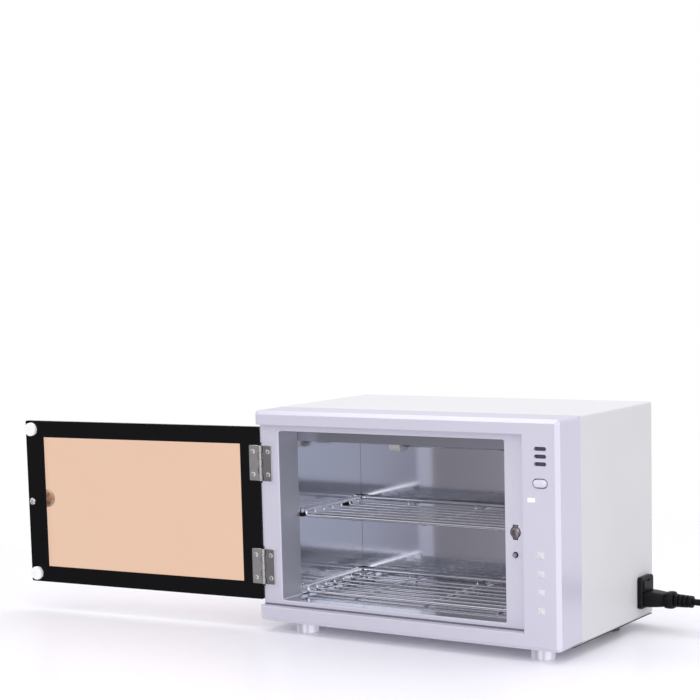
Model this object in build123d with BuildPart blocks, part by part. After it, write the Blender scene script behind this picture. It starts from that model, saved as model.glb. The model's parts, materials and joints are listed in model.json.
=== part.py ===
from build123d import *
import os
from math import asin, cos, pi, radians, sin, sqrt

os.makedirs("parts", exist_ok=True)

# Table-top ultraviolet sterilizer cabinet, in millimetres. +X is the cabinet's right, -Y its front and +Z up.
# The origin is on the floor, under the middle of the box that holds the cabinet with its door open.

# Case
case_width = 365.0
case_height = 230.3
case_depth = 222.5
foot_height = 12.0
foot_radius = 12.0
foot_left_inset = 49.0
foot_right_inset = 30.0
foot_front_inset = 22.0
foot_rear_inset = 47.5
sheet = 0.8                   # steel of the wrap, base pan and rear panel
sheet_gap = 0.2               # between two sheets that nest
wrap_lift = 2.0               # from the base pan's underside to the wrap's lower edge
wrap_bend = 2.0
bezel_depth = 48.8
bezel_wall = 2.5
bezel_corner = 4.6
bevel = 4.0
recess_depth = 11.6
top_lip = 15.4
bottom_lip = 16.5
column_width = 40.2

# Chamber
opening_inset = 23.9          # from the case's left side
strip_width = 25.8            # from the opening to the control column
opening_width = case_width - opening_inset - strip_width - column_width
opening_lift = 22.5
opening_drop = 22.6           # from the case's top down to the opening
opening_height = case_height - opening_lift - opening_drop
opening_corner = 2.0
collar_wall = 2.5
collar_depth = 47.5
chamber_depth = 174.0
liner = 0.6
liner_flange = 8.0
liner_seam = 0.3              # open line between the liner's walls and its back

# Door and hinges
open_angle = 175.2            # from closed to the stored, open place
hinge_inset = 1.4             # axis from the case's left side
leaf_thickness = 1.2
leaf_gap = 1.0
leaf_length = 39.0
leaf_width = 14.6             # from the axis to the free edge of a leaf
hinge_pad_height = 1.5
hinge_pad_length = 44.0
pin_radius = 0.8
running_gap = 0.05
knuckle_count = 5
knuckle_gap = 0.3
hinge_end = 58.3              # from the case's top or bottom to a hinge's middle
leaf_screw_offset = 12.5
leaf_screw_inset = 4.9        # from a leaf's free edge
door_heel = 1.9               # from the axis to the panel's hinge edge
door_side_gap = 2.0           # from the closed panel's free edge to the control column
door_reach = case_width - column_width - hinge_inset - door_side_gap   # from the axis to the free edge
door_lift = 21.5
door_drop = 18.7              # from the case's top down to the panel
door_height = case_height - door_lift - door_drop
door_thickness = 5.0
border_film = 0.5
window_margin_hinge = 24.7
window_margin_free = 25.5
window_margin_low = 18.9
window_margin_high = 19.1
door_corner = 2.0
knob_inset = 6.4              # from the panel's free edge to the knob's axis
knob_lift = 116.5
knob_radius = 10.5
knob_height = 27.0
knob_neck_radius = 5.5
knob_screw_radius = 2.0
knob_screw_head_radius = 4.0
knob_screw_head = 2.9
bumper_radius = 7.75
bumper_inset = 9.1
bumper_margin = 10.0          # from the panel's top or bottom edge to a bumper's centre
closed_gap = 0.3              # left between a bumper and the face that it meets

# Racks
rim_radius = 2.2
rack_wire_radius = 1.2
front_bar_radius = 1.9
rack_front = 52.0
rack_back_gap = 4.0           # from the rim's line to the chamber's back
rack_back = chamber_depth - rack_back_gap
rack_pitch = 17.6
rack_wires = 6
rack_tray_depth = 5.0         # from the rim's line down to the long wires' line
upper_rack_lift = 111.0
rack_side_gap = 0.4
rack_bend = 5.0
cross_count = 3
cross_first = 65.5            # from the rim's left line to the first cross wire
cross_last = 28.4             # from the last cross wire to the rim's right line
cross_sink = 2.1              # cross wires' line below the long wires' line
peg_length = 9.0
peg_height = 4.0
peg_reach = 4.2
peg_front = 52.0
peg_rear = 143.5
part_gap = 0.3                # left between two bodies that move

# Lamp
lamp_depth = 150.0
lamp_left = 98.3
lamp_length = 135.4
lamp_radius = 7.75
lamp_cap_radius = 8.0
lamp_cap_length = 10.0
lamp_drop = 20.7              # from the chamber's ceiling to the lamp's axis
lamp_pin_radius = 1.2
lamp_pin_length = 6.5
lamp_pin_spread = 4.8
holder_width = 14.0
holder_depth = 20.0
holder_height = 33.2
holder_gap = 0.3
baffle_drop = 14.2
baffle_setback = 0.6
baffle_flange = 12.0

# Controls
button_width = 15.6
button_height = 8.6
button_gap = 0.6
button_proud = 1.2
button_travel = 1.5
button_drop = 62.9            # from the case's top
button_inset = 20.3           # from the case's right side
lens_width = 8.2
lens_height = 4.4
lens_drop = 79.6
lens_inset = 30.0
vent_width = 13.3
vent_height = 4.0
vent_pitch = 7.5
vent_count = 3
vent_drop = 36.3
vent_inset = 20.0
stud_width = 8.0
stud_height = 7.0
stud_relief = 2.2
stud_pitch = 18.5
stud_count = 4
stud_lift = 68.2
stud_inset = 20.5
catch_inset = 54.2            # from the case's right side
catch_lift = 115.5
catch_radius = 6.0
catch_lobe_width = 6.0
catch_lobe_height = 15.3
catch_proud = 1.5
plunger_inset = 54.3
plunger_lift = 92.8
plunger_radius = 1.9
plunger_gap = 1.2
plunger_travel = 2.0
board_setback = 26.0
board_thickness = 1.6
board_strip_inset = 5.0       # from the opening's right side
board_side_inset = 4.0        # from the case's right side
board_lift = 70.0
board_drop = 46.3
switch_setback = 12.0         # from the front to the power switch and to the interlock switch
snap_setback = 20.3
post_radius = 3.0

# Small screws
screw_radius = 1.3
screw_head_radius = 2.6
screw_gap = 0.1
case_screw_radius = 1.6
case_screw_head_radius = 3.2
case_screw_head = 2.0

# Power inlet and lead
inlet_back_inset = 24.0       # from the case's back to the inlet's middle
inlet_lift = 28.35
inlet_width = 31.0
inlet_height = 34.0
inlet_flange = 5.5
inlet_body_width = 27.0
inlet_body_height = 31.0
inlet_body_depth = 22.0
socket_drop = 6.85            # from the inlet's middle down to the connector's line
connector_width = 25.0
connector_height = 17.0
connector_length = 21.5
connector_nose = 15.0
nose_width = 24.0
nose_height = 14.5
socket_depth = 16.0
connector_gap = 0.3
relief_collar_length = 10.0
relief_length = 20.5
relief_ribs = 4
drawer_width = 22.0
drawer_height = 9.0
drawer_rise = 8.5             # from the inlet's middle up to the fuse drawer's middle
drawer_depth = 15.0
drawer_travel = 12.0
cord_radius = 3.5
coil_inner_radius = 28.5        # of the cord's line, at the coil's innermost turns
coil_pitch = 8.0
coil_quarters = 10            # quarter turns in each of the two layers
coil_layer_rise = 7.6
coil_lift = 1.4               # room under the coil for its tie

# Places that follow from the sizes
open_tilt = radians(180.0 - open_angle)
face_offset = leaf_thickness + leaf_gap / 2          # from the axis to the door's inner face
hinge_setback = recess_depth - hinge_pad_height - face_offset
closed_space = recess_depth - (hinge_setback - face_offset)
bumper_thickness = closed_space - closed_gap
knob_along = door_reach - knob_inset
bumper_along = door_reach - bumper_inset
lowest_x = hinge_inset - (knob_along + knob_radius) * cos(open_tilt) \
    - (face_offset + door_thickness + knob_height) * sin(open_tilt)
lowest_y = hinge_setback - (bumper_along + bumper_radius) * sin(open_tilt) \
    + (face_offset - bumper_thickness) * cos(open_tilt)
highest_x = case_width + inlet_flange
highest_y = case_depth + case_screw_head
left = -(lowest_x + highest_x) / 2
front = -(lowest_y + highest_y) / 2
base = foot_height
right = left + case_width
back = front + case_depth
top = base + case_height
middle_x = left + case_width / 2
middle_z = base + case_height / 2
column_x = right - column_width
recess_y = front + recess_depth
strip_back = recess_y + bezel_wall
opening_left = left + opening_inset
opening_right = opening_left + opening_width
opening_low = base + opening_lift
opening_high = opening_low + opening_height
collar_back = front + collar_depth
chamber_back = front + chamber_depth
case_inside_front = front + bezel_depth
axis_x = left + hinge_inset
axis_y = front + hinge_setback


def facing(y):
    """A plane parallel to the front: sketch x runs right and sketch y up; extruding backwards is negative."""
    return Plane(origin=(0, y, 0), x_dir=(1, 0, 0), z_dir=(0, -1, 0))


def siding(x):
    """A plane parallel to the sides: sketch x runs to the back, sketch y up; extruding right is positive."""
    return Plane(origin=(x, 0, 0), x_dir=(0, 1, 0), z_dir=(1, 0, 0))


door_along = (-cos(open_tilt), -sin(open_tilt), 0)
door_outward = (-sin(open_tilt), cos(open_tilt), 0)


def door_plane(depth):
    """A plane in the open door, through its hinge axis at depth 0: sketch x runs to the free edge, y up."""
    return Plane(origin=(axis_x, axis_y, 0), x_dir=door_along, z_dir=door_outward).offset(depth)


def door_point(along, height, depth):
    """A point of the open door in the cabinet's frame."""
    return Vector(axis_x, axis_y, height) + Vector(*door_along) * along + Vector(*door_outward) * depth


def span(low_x, high_x, low_y, high_y, mode=Mode.ADD):
    """A rectangle in the current sketch, given by its limits."""
    with Locations(((low_x + high_x) / 2, (low_y + high_y) / 2)):
        Rectangle(high_x - low_x, high_y - low_y, mode=mode)


def keep(builder, name):
    """Label a finished piece and write it."""
    builder.part.label = name
    export_step(builder.part, f"parts/{name}.step")


# ---- front bezel: moulded lips, control column, recessed face and the collar round the opening ----
face_wall = 3.0
edge_wall = 4.0
boss_reach = 5.0
screw_boss_radius = 3.2
foot_boss_radius = 4.5
foot_boss_height = 11.0
hinge_lifts = (case_height - hinge_end, hinge_end)
leaf_screw_x = leaf_width - leaf_screw_inset
frame_screw_spots = [(axis_x + leaf_screw_x, base + lift + side * leaf_screw_offset)
                     for lift in hinge_lifts for side in (-1, 1)]
front_foot_spots = [(left + foot_left_inset, front + foot_front_inset),
                    (right - foot_right_inset, front + foot_front_inset)]
rear_foot_spots = [(left + foot_left_inset, back - foot_rear_inset),
                   (right - foot_right_inset, back - foot_rear_inset)]
catch_spot = (right - catch_inset, base + catch_lift)
plunger_spot = (right - plunger_inset, base + plunger_lift)
button_spot = (right - button_inset, top - button_drop)
lens_spot = (right - lens_inset, top - lens_drop)
board_left = opening_right + board_strip_inset
board_right = right - board_side_inset
board_low = base + board_lift
board_high = top - board_drop
board_y = front + board_setback
stud_pin_radius = 1.5
stud_spots = [(right - stud_inset, base + stud_lift + (index - (stud_count - 1) / 2) * stud_pitch)
              for index in range(stud_count)]
post_inset = 5.0
post_hole = 8.0
strip_posts = [(board_left + post_inset, z) for z in (board_low + post_inset, board_high - post_inset)]
column_posts = [(board_right - post_inset, z) for z in (board_low + post_inset, board_high - post_inset)]
lens_gap = 0.1
opening_round = 1.0
recess_round = 0.8
tongue_depth = 5.0
tongue_lift = 18.0
notch_width = 2.9
notch_depth = 1.5
hinge_pad_width = 14.2
leaf_screw_depth = 7.0

with BuildPart() as front_bezel:
    with BuildSketch(facing(front)):
        with Locations((middle_x, middle_z)):
            RectangleRounded(case_width, case_height, bezel_corner)
    extrude(amount=-bezel_depth)
    chamfer(front_bezel.faces().sort_by(Axis.Y)[0].edges(), bevel)
    # the door's recess is open to the left
    with BuildSketch(facing(front)):
        span(left - 1, column_x, base + bottom_lip, top - top_lip)
    extrude(amount=-recess_depth, mode=Mode.SUBTRACT)
    # hollow behind the recessed face, then behind the column and the two lips
    with BuildSketch(facing(case_inside_front)):
        span(left + bezel_wall, right - bezel_wall, base + bezel_wall, top - bezel_wall)
    extrude(amount=case_inside_front - strip_back, mode=Mode.SUBTRACT)
    with BuildSketch(facing(strip_back)):
        span(column_x + bezel_wall, right - edge_wall, base + edge_wall, top - edge_wall)
        span(left + edge_wall, right - edge_wall, top - top_lip + bezel_wall, top - edge_wall)
        span(left + edge_wall, right - edge_wall, base + edge_wall, base + bottom_lip - bezel_wall)
    extrude(amount=strip_back - front - face_wall, mode=Mode.SUBTRACT)
    # collar round the opening
    with BuildSketch(facing(recess_y)):
        span(opening_left - collar_wall, opening_right + collar_wall,
             opening_low - collar_wall, opening_high + collar_wall)
    extrude(amount=-(collar_depth - recess_depth))
    with BuildSketch(facing(recess_y)):
        with Locations(((opening_left + opening_right) / 2, (opening_low + opening_high) / 2)):
            RectangleRounded(opening_width, opening_height, opening_corner)
    extrude(amount=-(collar_depth - recess_depth), mode=Mode.SUBTRACT)
    recessed_edges = front_bezel.edges().filter_by_position(Axis.Y, recess_y - 0.01, recess_y + 0.01)
    fillet(recessed_edges.filter_by_position(Axis.X, opening_left - 0.01, opening_right + 0.01)
           .filter_by_position(Axis.Z, opening_low - 0.01, opening_high + 0.01), opening_round)
    front_edges = front_bezel.edges().filter_by_position(Axis.Y, front - 0.01, front + 0.01)
    fillet(front_edges.filter_by_position(Axis.X, left + bevel + 0.01, column_x + 0.01)
           .filter_by_position(Axis.Z, base + bevel + 0.01, top - bevel - 0.01), recess_round)
    # raised pads and edge notches for the two hinges, with their screw bosses
    with BuildSketch(facing(recess_y)):
        for lift in hinge_lifts:
            span(left + notch_width, left + notch_width + hinge_pad_width,
                 base + lift - hinge_pad_length / 2, base + lift + hinge_pad_length / 2)
    extrude(amount=hinge_pad_height)
    with BuildSketch(facing(recess_y)):
        for lift in hinge_lifts:
            span(left - 1, left + notch_width,
                 base + lift - hinge_pad_length / 2, base + lift + hinge_pad_length / 2)
    extrude(amount=-notch_depth, mode=Mode.SUBTRACT)
    with BuildSketch(facing(strip_back)):
        with Locations(*frame_screw_spots):
            Circle(screw_boss_radius)
    extrude(amount=-boss_reach)
    with BuildSketch(facing(recess_y - hinge_pad_height)):
        with Locations(*frame_screw_spots):
            Circle(screw_radius + screw_gap)
    extrude(amount=-leaf_screw_depth, mode=Mode.SUBTRACT)
    # posts for the control board, and bosses for the front feet
    with BuildSketch(facing(board_y)):
        with Locations(*strip_posts):
            Circle(post_radius)
    extrude(amount=board_y - strip_back)
    with BuildSketch(facing(board_y)):
        with Locations(*column_posts):
            Circle(post_radius)
    extrude(amount=board_y - front - face_wall)
    with BuildSketch(facing(board_y)):
        with Locations(*strip_posts, *column_posts):
            Circle(screw_radius + screw_gap)
    extrude(amount=post_hole, mode=Mode.SUBTRACT)
    with BuildSketch(Plane.XY.offset(base)):
        with Locations(*front_foot_spots):
            Circle(foot_boss_radius)
    extrude(amount=foot_boss_height)
    with BuildSketch(Plane.XY.offset(base)):
        with Locations(*front_foot_spots):
            Circle(case_screw_radius + screw_gap)
    extrude(amount=foot_boss_height - 2, mode=Mode.SUBTRACT)
    # tongue that the wrap slides over
    with BuildSketch(facing(case_inside_front)) as tongue_section:
        span(left + sheet + sheet_gap, right - sheet - sheet_gap, base + tongue_lift, top - sheet - sheet_gap)
        fillet(tongue_section.vertices().group_by(Axis.Y)[-1], wrap_bend - sheet)
        span(left + bezel_wall, right - bezel_wall, base, top - bezel_wall, mode=Mode.SUBTRACT)
    extrude(amount=-tongue_depth)
    # vents, button hole, indicator hole, catch aperture and plunger hole
    with BuildSketch(facing(front)):
        with Locations((right - vent_inset, top - vent_drop)):
            with GridLocations(1, vent_pitch, 1, vent_count):
                SlotOverall(vent_width, vent_height)
        with Locations(button_spot):
            SlotOverall(button_width + 2 * button_gap, button_height + 2 * button_gap)
        with Locations(lens_spot):
            Rectangle(lens_width + 2 * lens_gap, lens_height + 2 * lens_gap)
        with Locations(*stud_spots):
            Circle(stud_pin_radius + running_gap)
    extrude(amount=-face_wall, mode=Mode.SUBTRACT)
    with BuildSketch(facing(recess_y)):
        with Locations(catch_spot):
            Circle(catch_radius)
            Rectangle(catch_lobe_width, catch_lobe_height)
        with Locations(plunger_spot):
            Circle(plunger_radius + plunger_gap)
    extrude(amount=-bezel_wall, mode=Mode.SUBTRACT)
keep(front_bezel, "front_bezel")

# four small pyramids on the column, each with a pin through the face
with BuildPart() as accent_studs:
    for stud_spot in stud_spots:
        with BuildSketch(facing(front)):
            with Locations(stud_spot):
                Rectangle(stud_width, stud_height)
        with BuildSketch(facing(front - stud_relief)):
            with Locations(stud_spot):
                Rectangle(stud_width / 12, stud_height / 12)
        loft()
    with BuildSketch(facing(front)):
        with Locations(*stud_spots):
            Circle(stud_pin_radius)
    extrude(amount=-face_wall)
keep(accent_studs, "accent_studs")


# ---- sheet-steel case: wrap, base pan and rear panel ----
inlet_y = back - inlet_back_inset
inlet_z = base + inlet_lift
rear_flange = 9.0
pan_flange = 10.0
pan_edge = 0.3
rear_flange_height = 12.0
panel_screw_inset = 5.8
panel_low_inset = 30.0
panel_low_lift = 6.5
panel_screw_spots = [(left + panel_screw_inset, middle_z), (right - panel_screw_inset, middle_z),
                     (left + panel_screw_inset, top - panel_screw_inset),
                     (right - panel_screw_inset, top - panel_screw_inset),
                     (left + panel_low_inset, base + panel_low_lift),
                     (right - panel_low_inset, base + panel_low_lift)]

with BuildPart() as outer_wrap:
    with BuildSketch(facing(case_inside_front)) as wrap_section:
        span(left, right, base + wrap_lift, top)
        fillet(wrap_section.vertices().group_by(Axis.Y)[-1], wrap_bend)
        with Locations((middle_x, top - sheet - case_height / 2)):
            RectangleRounded(case_width - 2 * sheet, case_height, wrap_bend - sheet, mode=Mode.SUBTRACT)
    extrude(amount=-(case_depth - bezel_depth))
    with BuildSketch(facing(back - sheet)):
        span(left + sheet / 2, right - sheet / 2, base + wrap_lift, top - sheet / 2)
        span(left + sheet + rear_flange, right - sheet - rear_flange,
             base, top - sheet - rear_flange, mode=Mode.SUBTRACT)
        with Locations(*panel_screw_spots):
            Circle(case_screw_radius + screw_gap, mode=Mode.SUBTRACT)
    extrude(amount=sheet)
    with BuildSketch(siding(right)):
        with Locations((inlet_y, inlet_z)):
            Rectangle(inlet_body_width + 2 * sheet_gap, inlet_body_height + 2 * sheet_gap)
    extrude(amount=-2 * sheet, mode=Mode.SUBTRACT)
keep(outer_wrap, "outer_wrap")

ballast_width = 42.0
ballast_height = 28.0
ballast_ear = 8.0
ballast_plate = 1.5
ballast_inset = 35.0          # from the case's right side to the ballast's middle
ballast_front_gap = 18.7      # from the bezel's back
ballast_foot_gap = 6.5        # from the rear feet's line
ballast_low_y = case_inside_front + ballast_front_gap
ballast_high_y = back - foot_rear_inset - ballast_foot_gap
ballast_length = ballast_high_y - ballast_low_y - 2 * ballast_ear
ballast_x = right - ballast_inset
ballast_y = (ballast_low_y + ballast_high_y) / 2
ballast_screw_spots = [(ballast_x, ballast_y + side * (ballast_length + ballast_ear) / 2) for side in (-1, 1)]
pan_inner = base + sheet

with BuildPart() as base_pan:
    with BuildSketch(Plane.XY.offset(base)):
        span(left + pan_edge, right - pan_edge, case_inside_front, back - sheet)
    extrude(amount=sheet)
    with BuildSketch(facing(case_inside_front)):
        for side in (left + sheet + sheet_gap, right - 2 * sheet - sheet_gap):
            span(side, side + sheet, base, base + pan_flange)
    extrude(amount=-(case_depth - bezel_depth - 3 * sheet))
    with BuildSketch(facing(back - 2 * sheet)):
        span(left + rear_flange + 3 * sheet, right - rear_flange - 3 * sheet, base, base + rear_flange_height)
        with Locations(*panel_screw_spots):
            Circle(case_screw_radius + screw_gap, mode=Mode.SUBTRACT)
    extrude(amount=-sheet)
    with BuildSketch(facing(case_inside_front)):
        span(left + 3 * sheet, right - 3 * sheet, base, base + pan_flange - 2 * sheet)
    extrude(amount=-sheet)
    with BuildSketch(Plane.XY.offset(base)):
        with Locations(*rear_foot_spots, *ballast_screw_spots):
            Circle(case_screw_radius + screw_gap)
    extrude(amount=sheet, mode=Mode.SUBTRACT)
keep(base_pan, "base_pan")

rear_vent_columns = 12
rear_vent_rows = 2
rear_vent_side = 60.0         # from the panel's middle to the right
rear_vent_drop = 62.0
rear_vent_length = 26.0
rear_vent_width = 3.0
rear_vent_pitch = 10.0
with BuildPart() as rear_panel:
    with BuildSketch(facing(back - sheet)) as panel_outline:
        span(left + sheet + sheet_gap, right - sheet - sheet_gap, base + wrap_lift, top - sheet - sheet_gap)
        fillet(panel_outline.vertices().group_by(Axis.Y)[-1], wrap_bend - sheet)
        with Locations(*panel_screw_spots):
            Circle(case_screw_radius + screw_gap, mode=Mode.SUBTRACT)
        with Locations((middle_x + rear_vent_side, top - rear_vent_drop)):
            with GridLocations(rear_vent_pitch, rear_vent_length + rear_vent_pitch,
                               rear_vent_columns, rear_vent_rows):
                SlotOverall(rear_vent_length, rear_vent_width, rotation=90, mode=Mode.SUBTRACT)
    extrude(amount=-sheet)
keep(rear_panel, "rear_panel")

rear_screw_length = 6.0
with BuildPart() as rear_screws:
    with BuildSketch(facing(back)):
        with Locations(*panel_screw_spots):
            Circle(case_screw_head_radius)
    extrude(amount=-case_screw_head)
    fillet(rear_screws.faces().sort_by(Axis.Y)[-len(panel_screw_spots):].edges(), case_screw_head / 2)
    with BuildSketch(facing(back)):
        with Locations(*panel_screw_spots):
            Circle(case_screw_radius)
    extrude(amount=rear_screw_length)
keep(rear_screws, "rear_screws")


# ---- feet ----
foot_recess_radius = 4.5
foot_recess = 4.0
foot_edge = 0.8
foot_spots = {"foot_front_left": front_foot_spots[0], "foot_front_right": front_foot_spots[1],
              "foot_rear_left": rear_foot_spots[0], "foot_rear_right": rear_foot_spots[1]}
for foot_name, foot_spot in foot_spots.items():
    with BuildPart() as foot:
        with BuildSketch(Plane.XY):
            with Locations(foot_spot):
                Circle(foot_radius)
        extrude(amount=foot_height)
        chamfer(foot.faces().sort_by(Axis.Z)[0].edges(), foot_edge)
        with BuildSketch(Plane.XY):
            with Locations(foot_spot):
                Circle(foot_recess_radius)
        extrude(amount=foot_recess, mode=Mode.SUBTRACT)
        with BuildSketch(Plane.XY):
            with Locations(foot_spot):
                Circle(case_screw_radius + screw_gap)
        extrude(amount=foot_height, mode=Mode.SUBTRACT)
    keep(foot, foot_name)

foot_screw_reach = 7.0
with BuildPart() as foot_screws:
    with BuildSketch(Plane.XY.offset(foot_recess)):
        with Locations(*foot_spots.values()):
            Circle(case_screw_head_radius)
    extrude(amount=-case_screw_head)
    with BuildSketch(Plane.XY.offset(foot_recess)):
        with Locations(*foot_spots.values()):
            Circle(case_screw_radius)
    extrude(amount=base + foot_screw_reach - foot_recess)
keep(foot_screws, "foot_screws")


# ---- chamber: liner, ceiling, baffle ----
rivet_radius = 1.5
rivet_head_radius = 2.8
rivet_head = 1.0
baffle_rivet_inset = 40.0
baffle_front = collar_back + baffle_setback
baffle_rivet_spots = [(rivet_x, baffle_front + baffle_flange * 0.6)
                      for rivet_x in (opening_left + baffle_rivet_inset, opening_right - baffle_rivet_inset)]
lamp_x = left + lamp_left
lamp_y = front + lamp_depth
lamp_z = opening_high - lamp_drop
holder_spans = [(lamp_x - holder_gap - holder_width, lamp_x - holder_gap),
                (lamp_x + lamp_length + holder_gap, lamp_x + lamp_length + holder_gap + holder_width)]
wire_hole_radius = 3.0
back_margin = 6.0

with BuildPart() as liner_wrap:
    with BuildSketch(facing(collar_back)):
        with Locations(((opening_left + opening_right) / 2, (opening_low + opening_high) / 2)):
            RectangleRounded(opening_width + 2 * liner, opening_height + 2 * liner, opening_corner + liner)
            RectangleRounded(opening_width, opening_height, opening_corner, mode=Mode.SUBTRACT)
        span(opening_left - 1, opening_right + 1, opening_high - opening_corner, opening_high + 1,
             mode=Mode.SUBTRACT)
        span(opening_left - liner, opening_left, opening_high - opening_corner, opening_high)
        span(opening_right, opening_right + liner, opening_high - opening_corner, opening_high)
    extrude(amount=-(chamber_depth - liner_seam - collar_depth))
    with BuildSketch(facing(collar_back)):
        span(opening_left - liner_flange, opening_right + liner_flange,
             opening_low - liner_flange, opening_high)
        with Locations(((opening_left + opening_right) / 2, (opening_low + opening_high) / 2)):
            RectangleRounded(opening_width, opening_height, opening_corner, mode=Mode.SUBTRACT)
        span(opening_left, opening_right, opening_high - opening_corner, opening_high + 1, mode=Mode.SUBTRACT)
    extrude(amount=-liner)
keep(liner_wrap, "liner_wrap")

with BuildPart() as liner_back:
    with BuildSketch(facing(chamber_back)):
        span(opening_left - back_margin, opening_right + back_margin, opening_low - back_margin, opening_high)
    extrude(amount=-liner)
keep(liner_back, "liner_back")

with BuildPart() as liner_ceiling:
    with BuildSketch(Plane.XY.offset(opening_high)):
        span(opening_left - back_margin, opening_right + back_margin, collar_back, chamber_back + liner)
        with Locations(*baffle_rivet_spots):
            Circle(rivet_radius + screw_gap, mode=Mode.SUBTRACT)
        for low_x, high_x in holder_spans:
            with Locations(((low_x + high_x) / 2, lamp_y)):
                Circle(wire_hole_radius, mode=Mode.SUBTRACT)
    extrude(amount=liner)
keep(liner_ceiling, "liner_ceiling")

with BuildPart() as lamp_baffle:
    with BuildSketch(facing(baffle_front)):
        span(opening_left + sheet_gap, opening_right - sheet_gap, opening_high - baffle_drop, opening_high)
    extrude(amount=-sheet)
    with BuildSketch(Plane.XY.offset(opening_high)):
        span(opening_left + sheet_gap, opening_right - sheet_gap, baffle_front, baffle_front + baffle_flange)
        with Locations(*baffle_rivet_spots):
            Circle(rivet_radius + screw_gap, mode=Mode.SUBTRACT)
    extrude(amount=-sheet)
keep(lamp_baffle, "lamp_baffle")

with BuildPart() as baffle_rivets:
    with BuildSketch(Plane.XY.offset(opening_high - sheet)):
        with Locations(*baffle_rivet_spots):
            Circle(rivet_head_radius)
    extrude(amount=-rivet_head)
    with BuildSketch(Plane.XY.offset(opening_high - sheet)):
        with Locations(*baffle_rivet_spots):
            Circle(rivet_radius)
    extrude(amount=sheet + liner)
    with BuildSketch(Plane.XY.offset(opening_high + liner)):
        with Locations(*baffle_rivet_spots):
            Circle(rivet_head_radius)
    extrude(amount=rivet_head)
keep(baffle_rivets, "baffle_rivets")


# ---- lamp ----
glass_wall = 0.8
lamp_cap_floor = 1.5
lamp_pin_gap = 0.2
pin_spots = [(lamp_y + side * lamp_pin_spread / 2, lamp_z) for side in (-1, 1)]
lamp_ends = [(lamp_x, 1), (lamp_x + lamp_length, -1)]      # outer face and the way inwards

with BuildPart() as lamp_holders:
    for low_x, high_x in holder_spans:
        with BuildSketch(siding(low_x)):
            span(lamp_y - holder_depth / 2, lamp_y + holder_depth / 2,
                 opening_high - holder_height, opening_high)
        extrude(amount=holder_width)
    fillet(lamp_holders.edges().filter_by(Axis.X).group_by(Axis.Z)[0], holder_depth * 0.3)
    for end_x, inward in lamp_ends:
        with BuildSketch(siding(end_x)):
            with Locations(*pin_spots):
                Circle(lamp_pin_radius + lamp_pin_gap)
        extrude(amount=-inward * (lamp_pin_length + holder_gap), mode=Mode.SUBTRACT)
keep(lamp_holders, "lamp_holders")

with BuildPart() as lamp_tube:
    with BuildSketch(siding(lamp_x + lamp_cap_floor)):
        with Locations((lamp_y, lamp_z)):
            Circle(lamp_radius)
            Circle(lamp_radius - glass_wall, mode=Mode.SUBTRACT)
    extrude(amount=lamp_length - 2 * lamp_cap_floor)
keep(lamp_tube, "lamp_tube")

with BuildPart() as lamp_caps:
    for end_x, inward in lamp_ends:
        with BuildSketch(siding(end_x)):
            with Locations((lamp_y, lamp_z)):
                Circle(lamp_cap_radius)
        extrude(amount=inward * lamp_cap_length)
        with BuildSketch(siding(end_x + inward * lamp_cap_floor)):
            with Locations((lamp_y, lamp_z)):
                Circle(lamp_radius + running_gap)
        extrude(amount=inward * lamp_cap_length, mode=Mode.SUBTRACT)
        with BuildSketch(siding(end_x)):
            with Locations(*pin_spots):
                Circle(lamp_pin_radius)
        extrude(amount=-inward * lamp_pin_length)
keep(lamp_caps, "lamp_caps")


# ---- ballast and starter on the base pan ----
with BuildPart() as ballast:
    with BuildSketch(Plane.XY.offset(pan_inner)):
        with Locations((ballast_x, ballast_y)):
            Rectangle(ballast_width, ballast_length + 2 * ballast_ear)
        with Locations(*ballast_screw_spots):
            Circle(case_screw_radius + screw_gap, mode=Mode.SUBTRACT)
    extrude(amount=ballast_plate)
    with BuildSketch(Plane.XY.offset(pan_inner)):
        with Locations((ballast_x, ballast_y)):
            RectangleRounded(ballast_width, ballast_length - ballast_ear, ballast_plate)
    extrude(amount=ballast_height)
keep(ballast, "ballast")

with BuildPart() as ballast_screws:
    with BuildSketch(Plane.XY.offset(pan_inner + ballast_plate)):
        with Locations(*ballast_screw_spots):
            Circle(case_screw_head_radius)
    extrude(amount=case_screw_head)
    with BuildSketch(Plane.XY.offset(base)):
        with Locations(*ballast_screw_spots):
            Circle(case_screw_radius)
    extrude(amount=sheet + ballast_plate)
keep(ballast_screws, "ballast_screws")

starter_radius = 10.7
starter_height = 34.0
starter_base = 12.0
starter_wall = 2.0
starter_side = 18.0           # from the opening's right side
starter_back = 21.0           # from the case's back
starter_spot = (opening_right + starter_side, back - starter_back)
with BuildPart() as starter_socket:
    with BuildSketch(Plane.XY.offset(pan_inner)):
        with Locations(starter_spot):
            Circle(starter_radius + starter_wall)
    extrude(amount=starter_base)
    with BuildSketch(Plane.XY.offset(pan_inner + starter_wall)):
        with Locations(starter_spot):
            Circle(starter_radius + running_gap)
    extrude(amount=starter_base, mode=Mode.SUBTRACT)
keep(starter_socket, "starter_socket")

with BuildPart() as starter:
    with BuildSketch(Plane.XY.offset(pan_inner + starter_wall)):
        with Locations(starter_spot):
            Circle(starter_radius)
    extrude(amount=starter_height)
    fillet(starter.faces().sort_by(Axis.Z)[-1].edges(), starter_wall)
keep(starter, "starter")


# ---- controls behind the column ----
switch_front = front + switch_setback
switch_width = 14.0
switch_height = 12.0
snap_width = 12.0
snap_height = 20.0
snap_front = front + snap_setback
retainer = 1.2
retainer_lip = 1.4
stem_radius = 1.8
board_screw_head = 1.4
board_screw_head_radius = 2.4

with BuildPart() as control_board:
    with BuildSketch(facing(board_y)):
        span(board_left, board_right, board_low, board_high)
        with Locations(*strip_posts, *column_posts):
            Circle(screw_radius + screw_gap, mode=Mode.SUBTRACT)
    extrude(amount=-board_thickness)
keep(control_board, "control_board")

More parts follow.
